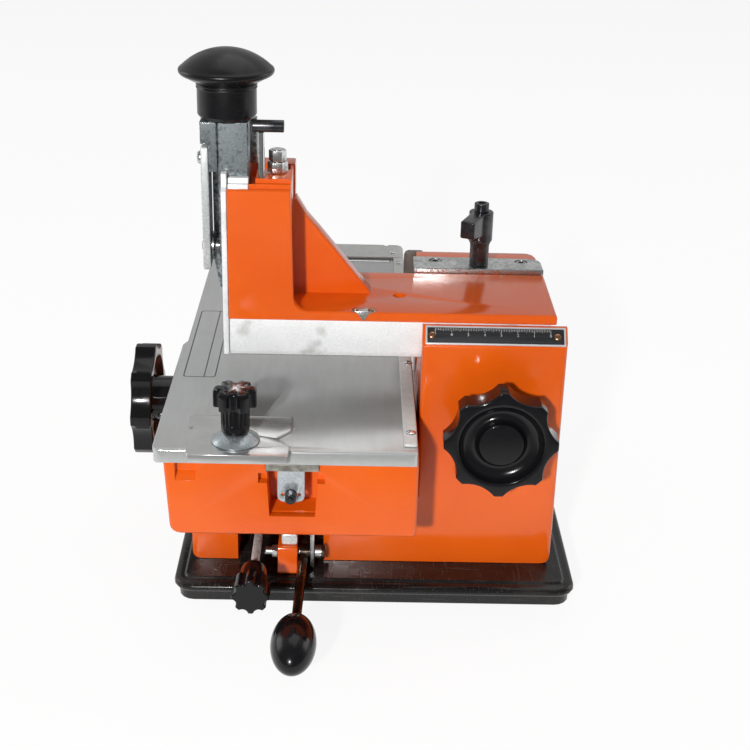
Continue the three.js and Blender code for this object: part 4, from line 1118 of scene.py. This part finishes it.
def floor_paper():
    """White to the camera with the object's shadow on it; to mirrored rays it glows as a painted
    reflection, darker far in front.
    """
    finish = Finish("floor_paper")
    finish.set(Base_Color=(0.86, 0.86, 0.86, 1), Roughness=0.9)
    camera_ray, glossy_ray, through_ray = ray_kinds(finish.tree)
    distance = finish.place.node("SeparateXYZ", None, {"Vector": finish.place}, output=1)
    # Painted reflection: mirrored rays see the floor glow, fully near the object and dimly far in
    # front.
    mirrored_glow = distance.ranged(-0.48, -0.24, 0.09, 1)
    strength = camera_ray * 1.06 + glossy_ray * mirrored_glow + through_ray * mirrored_glow
    glow = finish.place.node("Emission", None, {"Color": WHITE, "Strength": strength})
    lit = Shade(finish.tree, finish.surface.outputs["BSDF"])
    share = camera_ray * 0.84 + glossy_ray * 0.9 + through_ray * 0.9
    mixed = glow.node("MixShader", None, {0: share, 1: lit, 2: glow})
    surface = finish.tree.nodes["Material Output"].inputs["Surface"]
    finish.tree.links.new(mixed.socket, surface)
    return finish.material


deselect()
bpy.ops.mesh.primitive_plane_add(size=14, location=(0, 0, 0))
floor = bpy.context.object
floor.name = "floor"
floor.data.materials.append(floor_paper())


def softbox(name, place, aim, size, power):
    """A square area lamp, with its place, aim and size in metres and its power in watts."""
    lamp = bpy.data.lights.new(name, "AREA")
    lamp.size = size
    lamp.energy = power
    made = bpy.data.objects.new(name, lamp)
    made.location = place
    made.rotation_euler = (Vector(aim) - Vector(place)).to_track_quat("-Z", "Y").to_euler()
    bpy.context.scene.collection.objects.link(made)


softbox("key_light", (-0.53, -2.35, 1.09), (0, 0, 0.15), 0.12, 50)
softbox("top_light", (0.2, 0.5, 1.9), (0, 0, 0.1), 1.4, 5)
softbox("left_light", (-1.8, 0.6, 0.9), (0, 0, 0.15), 1.0, 6)
softbox("right_light", (1.8, 0.6, 0.9), (0, 0, 0.15), 1.0, 5)


def studio_world():
    """White behind the object in what metal mirrors, dark on the camera's side, dim elsewhere."""
    world = bpy.data.worlds.new("studio")
    bpy.context.scene.world = world
    world.use_nodes = True
    tree = world.node_tree
    way = Shade(tree, tree.nodes.new("ShaderNodeTexCoord").outputs["Generated"])
    camera_ray, glossy_ray, through_ray = ray_kinds(tree)
    depth = way.node("SeparateXYZ", None, {"Vector": way}, output=1)
    behind = depth.ranged(-0.25, 0.35, 0.16, 0.55)
    plain = 1 - camera_ray - glossy_ray - through_ray
    strength = camera_ray + (glossy_ray + through_ray) * behind + plain * 0.17
    tree.links.new(strength.socket, tree.nodes["Background"].inputs["Strength"])
    tree.nodes["Background"].inputs["Color"].default_value = WHITE


studio_world()

camera = bpy.data.cameras.new("camera")
camera.sensor_width = 36
camera.lens = 67.11
camera.clip_start = 0.01
view = bpy.data.objects.new("camera", camera)
turned_right, looking_down, rolled = 1.006, 24.163, 1.474
view.matrix_world = (
    Matrix.Translation(at(-16.4, -775.6, 511.9))
    @ Matrix.Rotation(math.radians(-turned_right), 4, "Z")
    @ Matrix.Rotation(math.radians(90 - looking_down), 4, "X")
    @ Matrix.Rotation(math.radians(rolled), 4, "Z")
)
bpy.context.scene.collection.objects.link(view)
bpy.context.scene.camera = view
bpy.context.scene.view_settings.view_transform = "Standard"
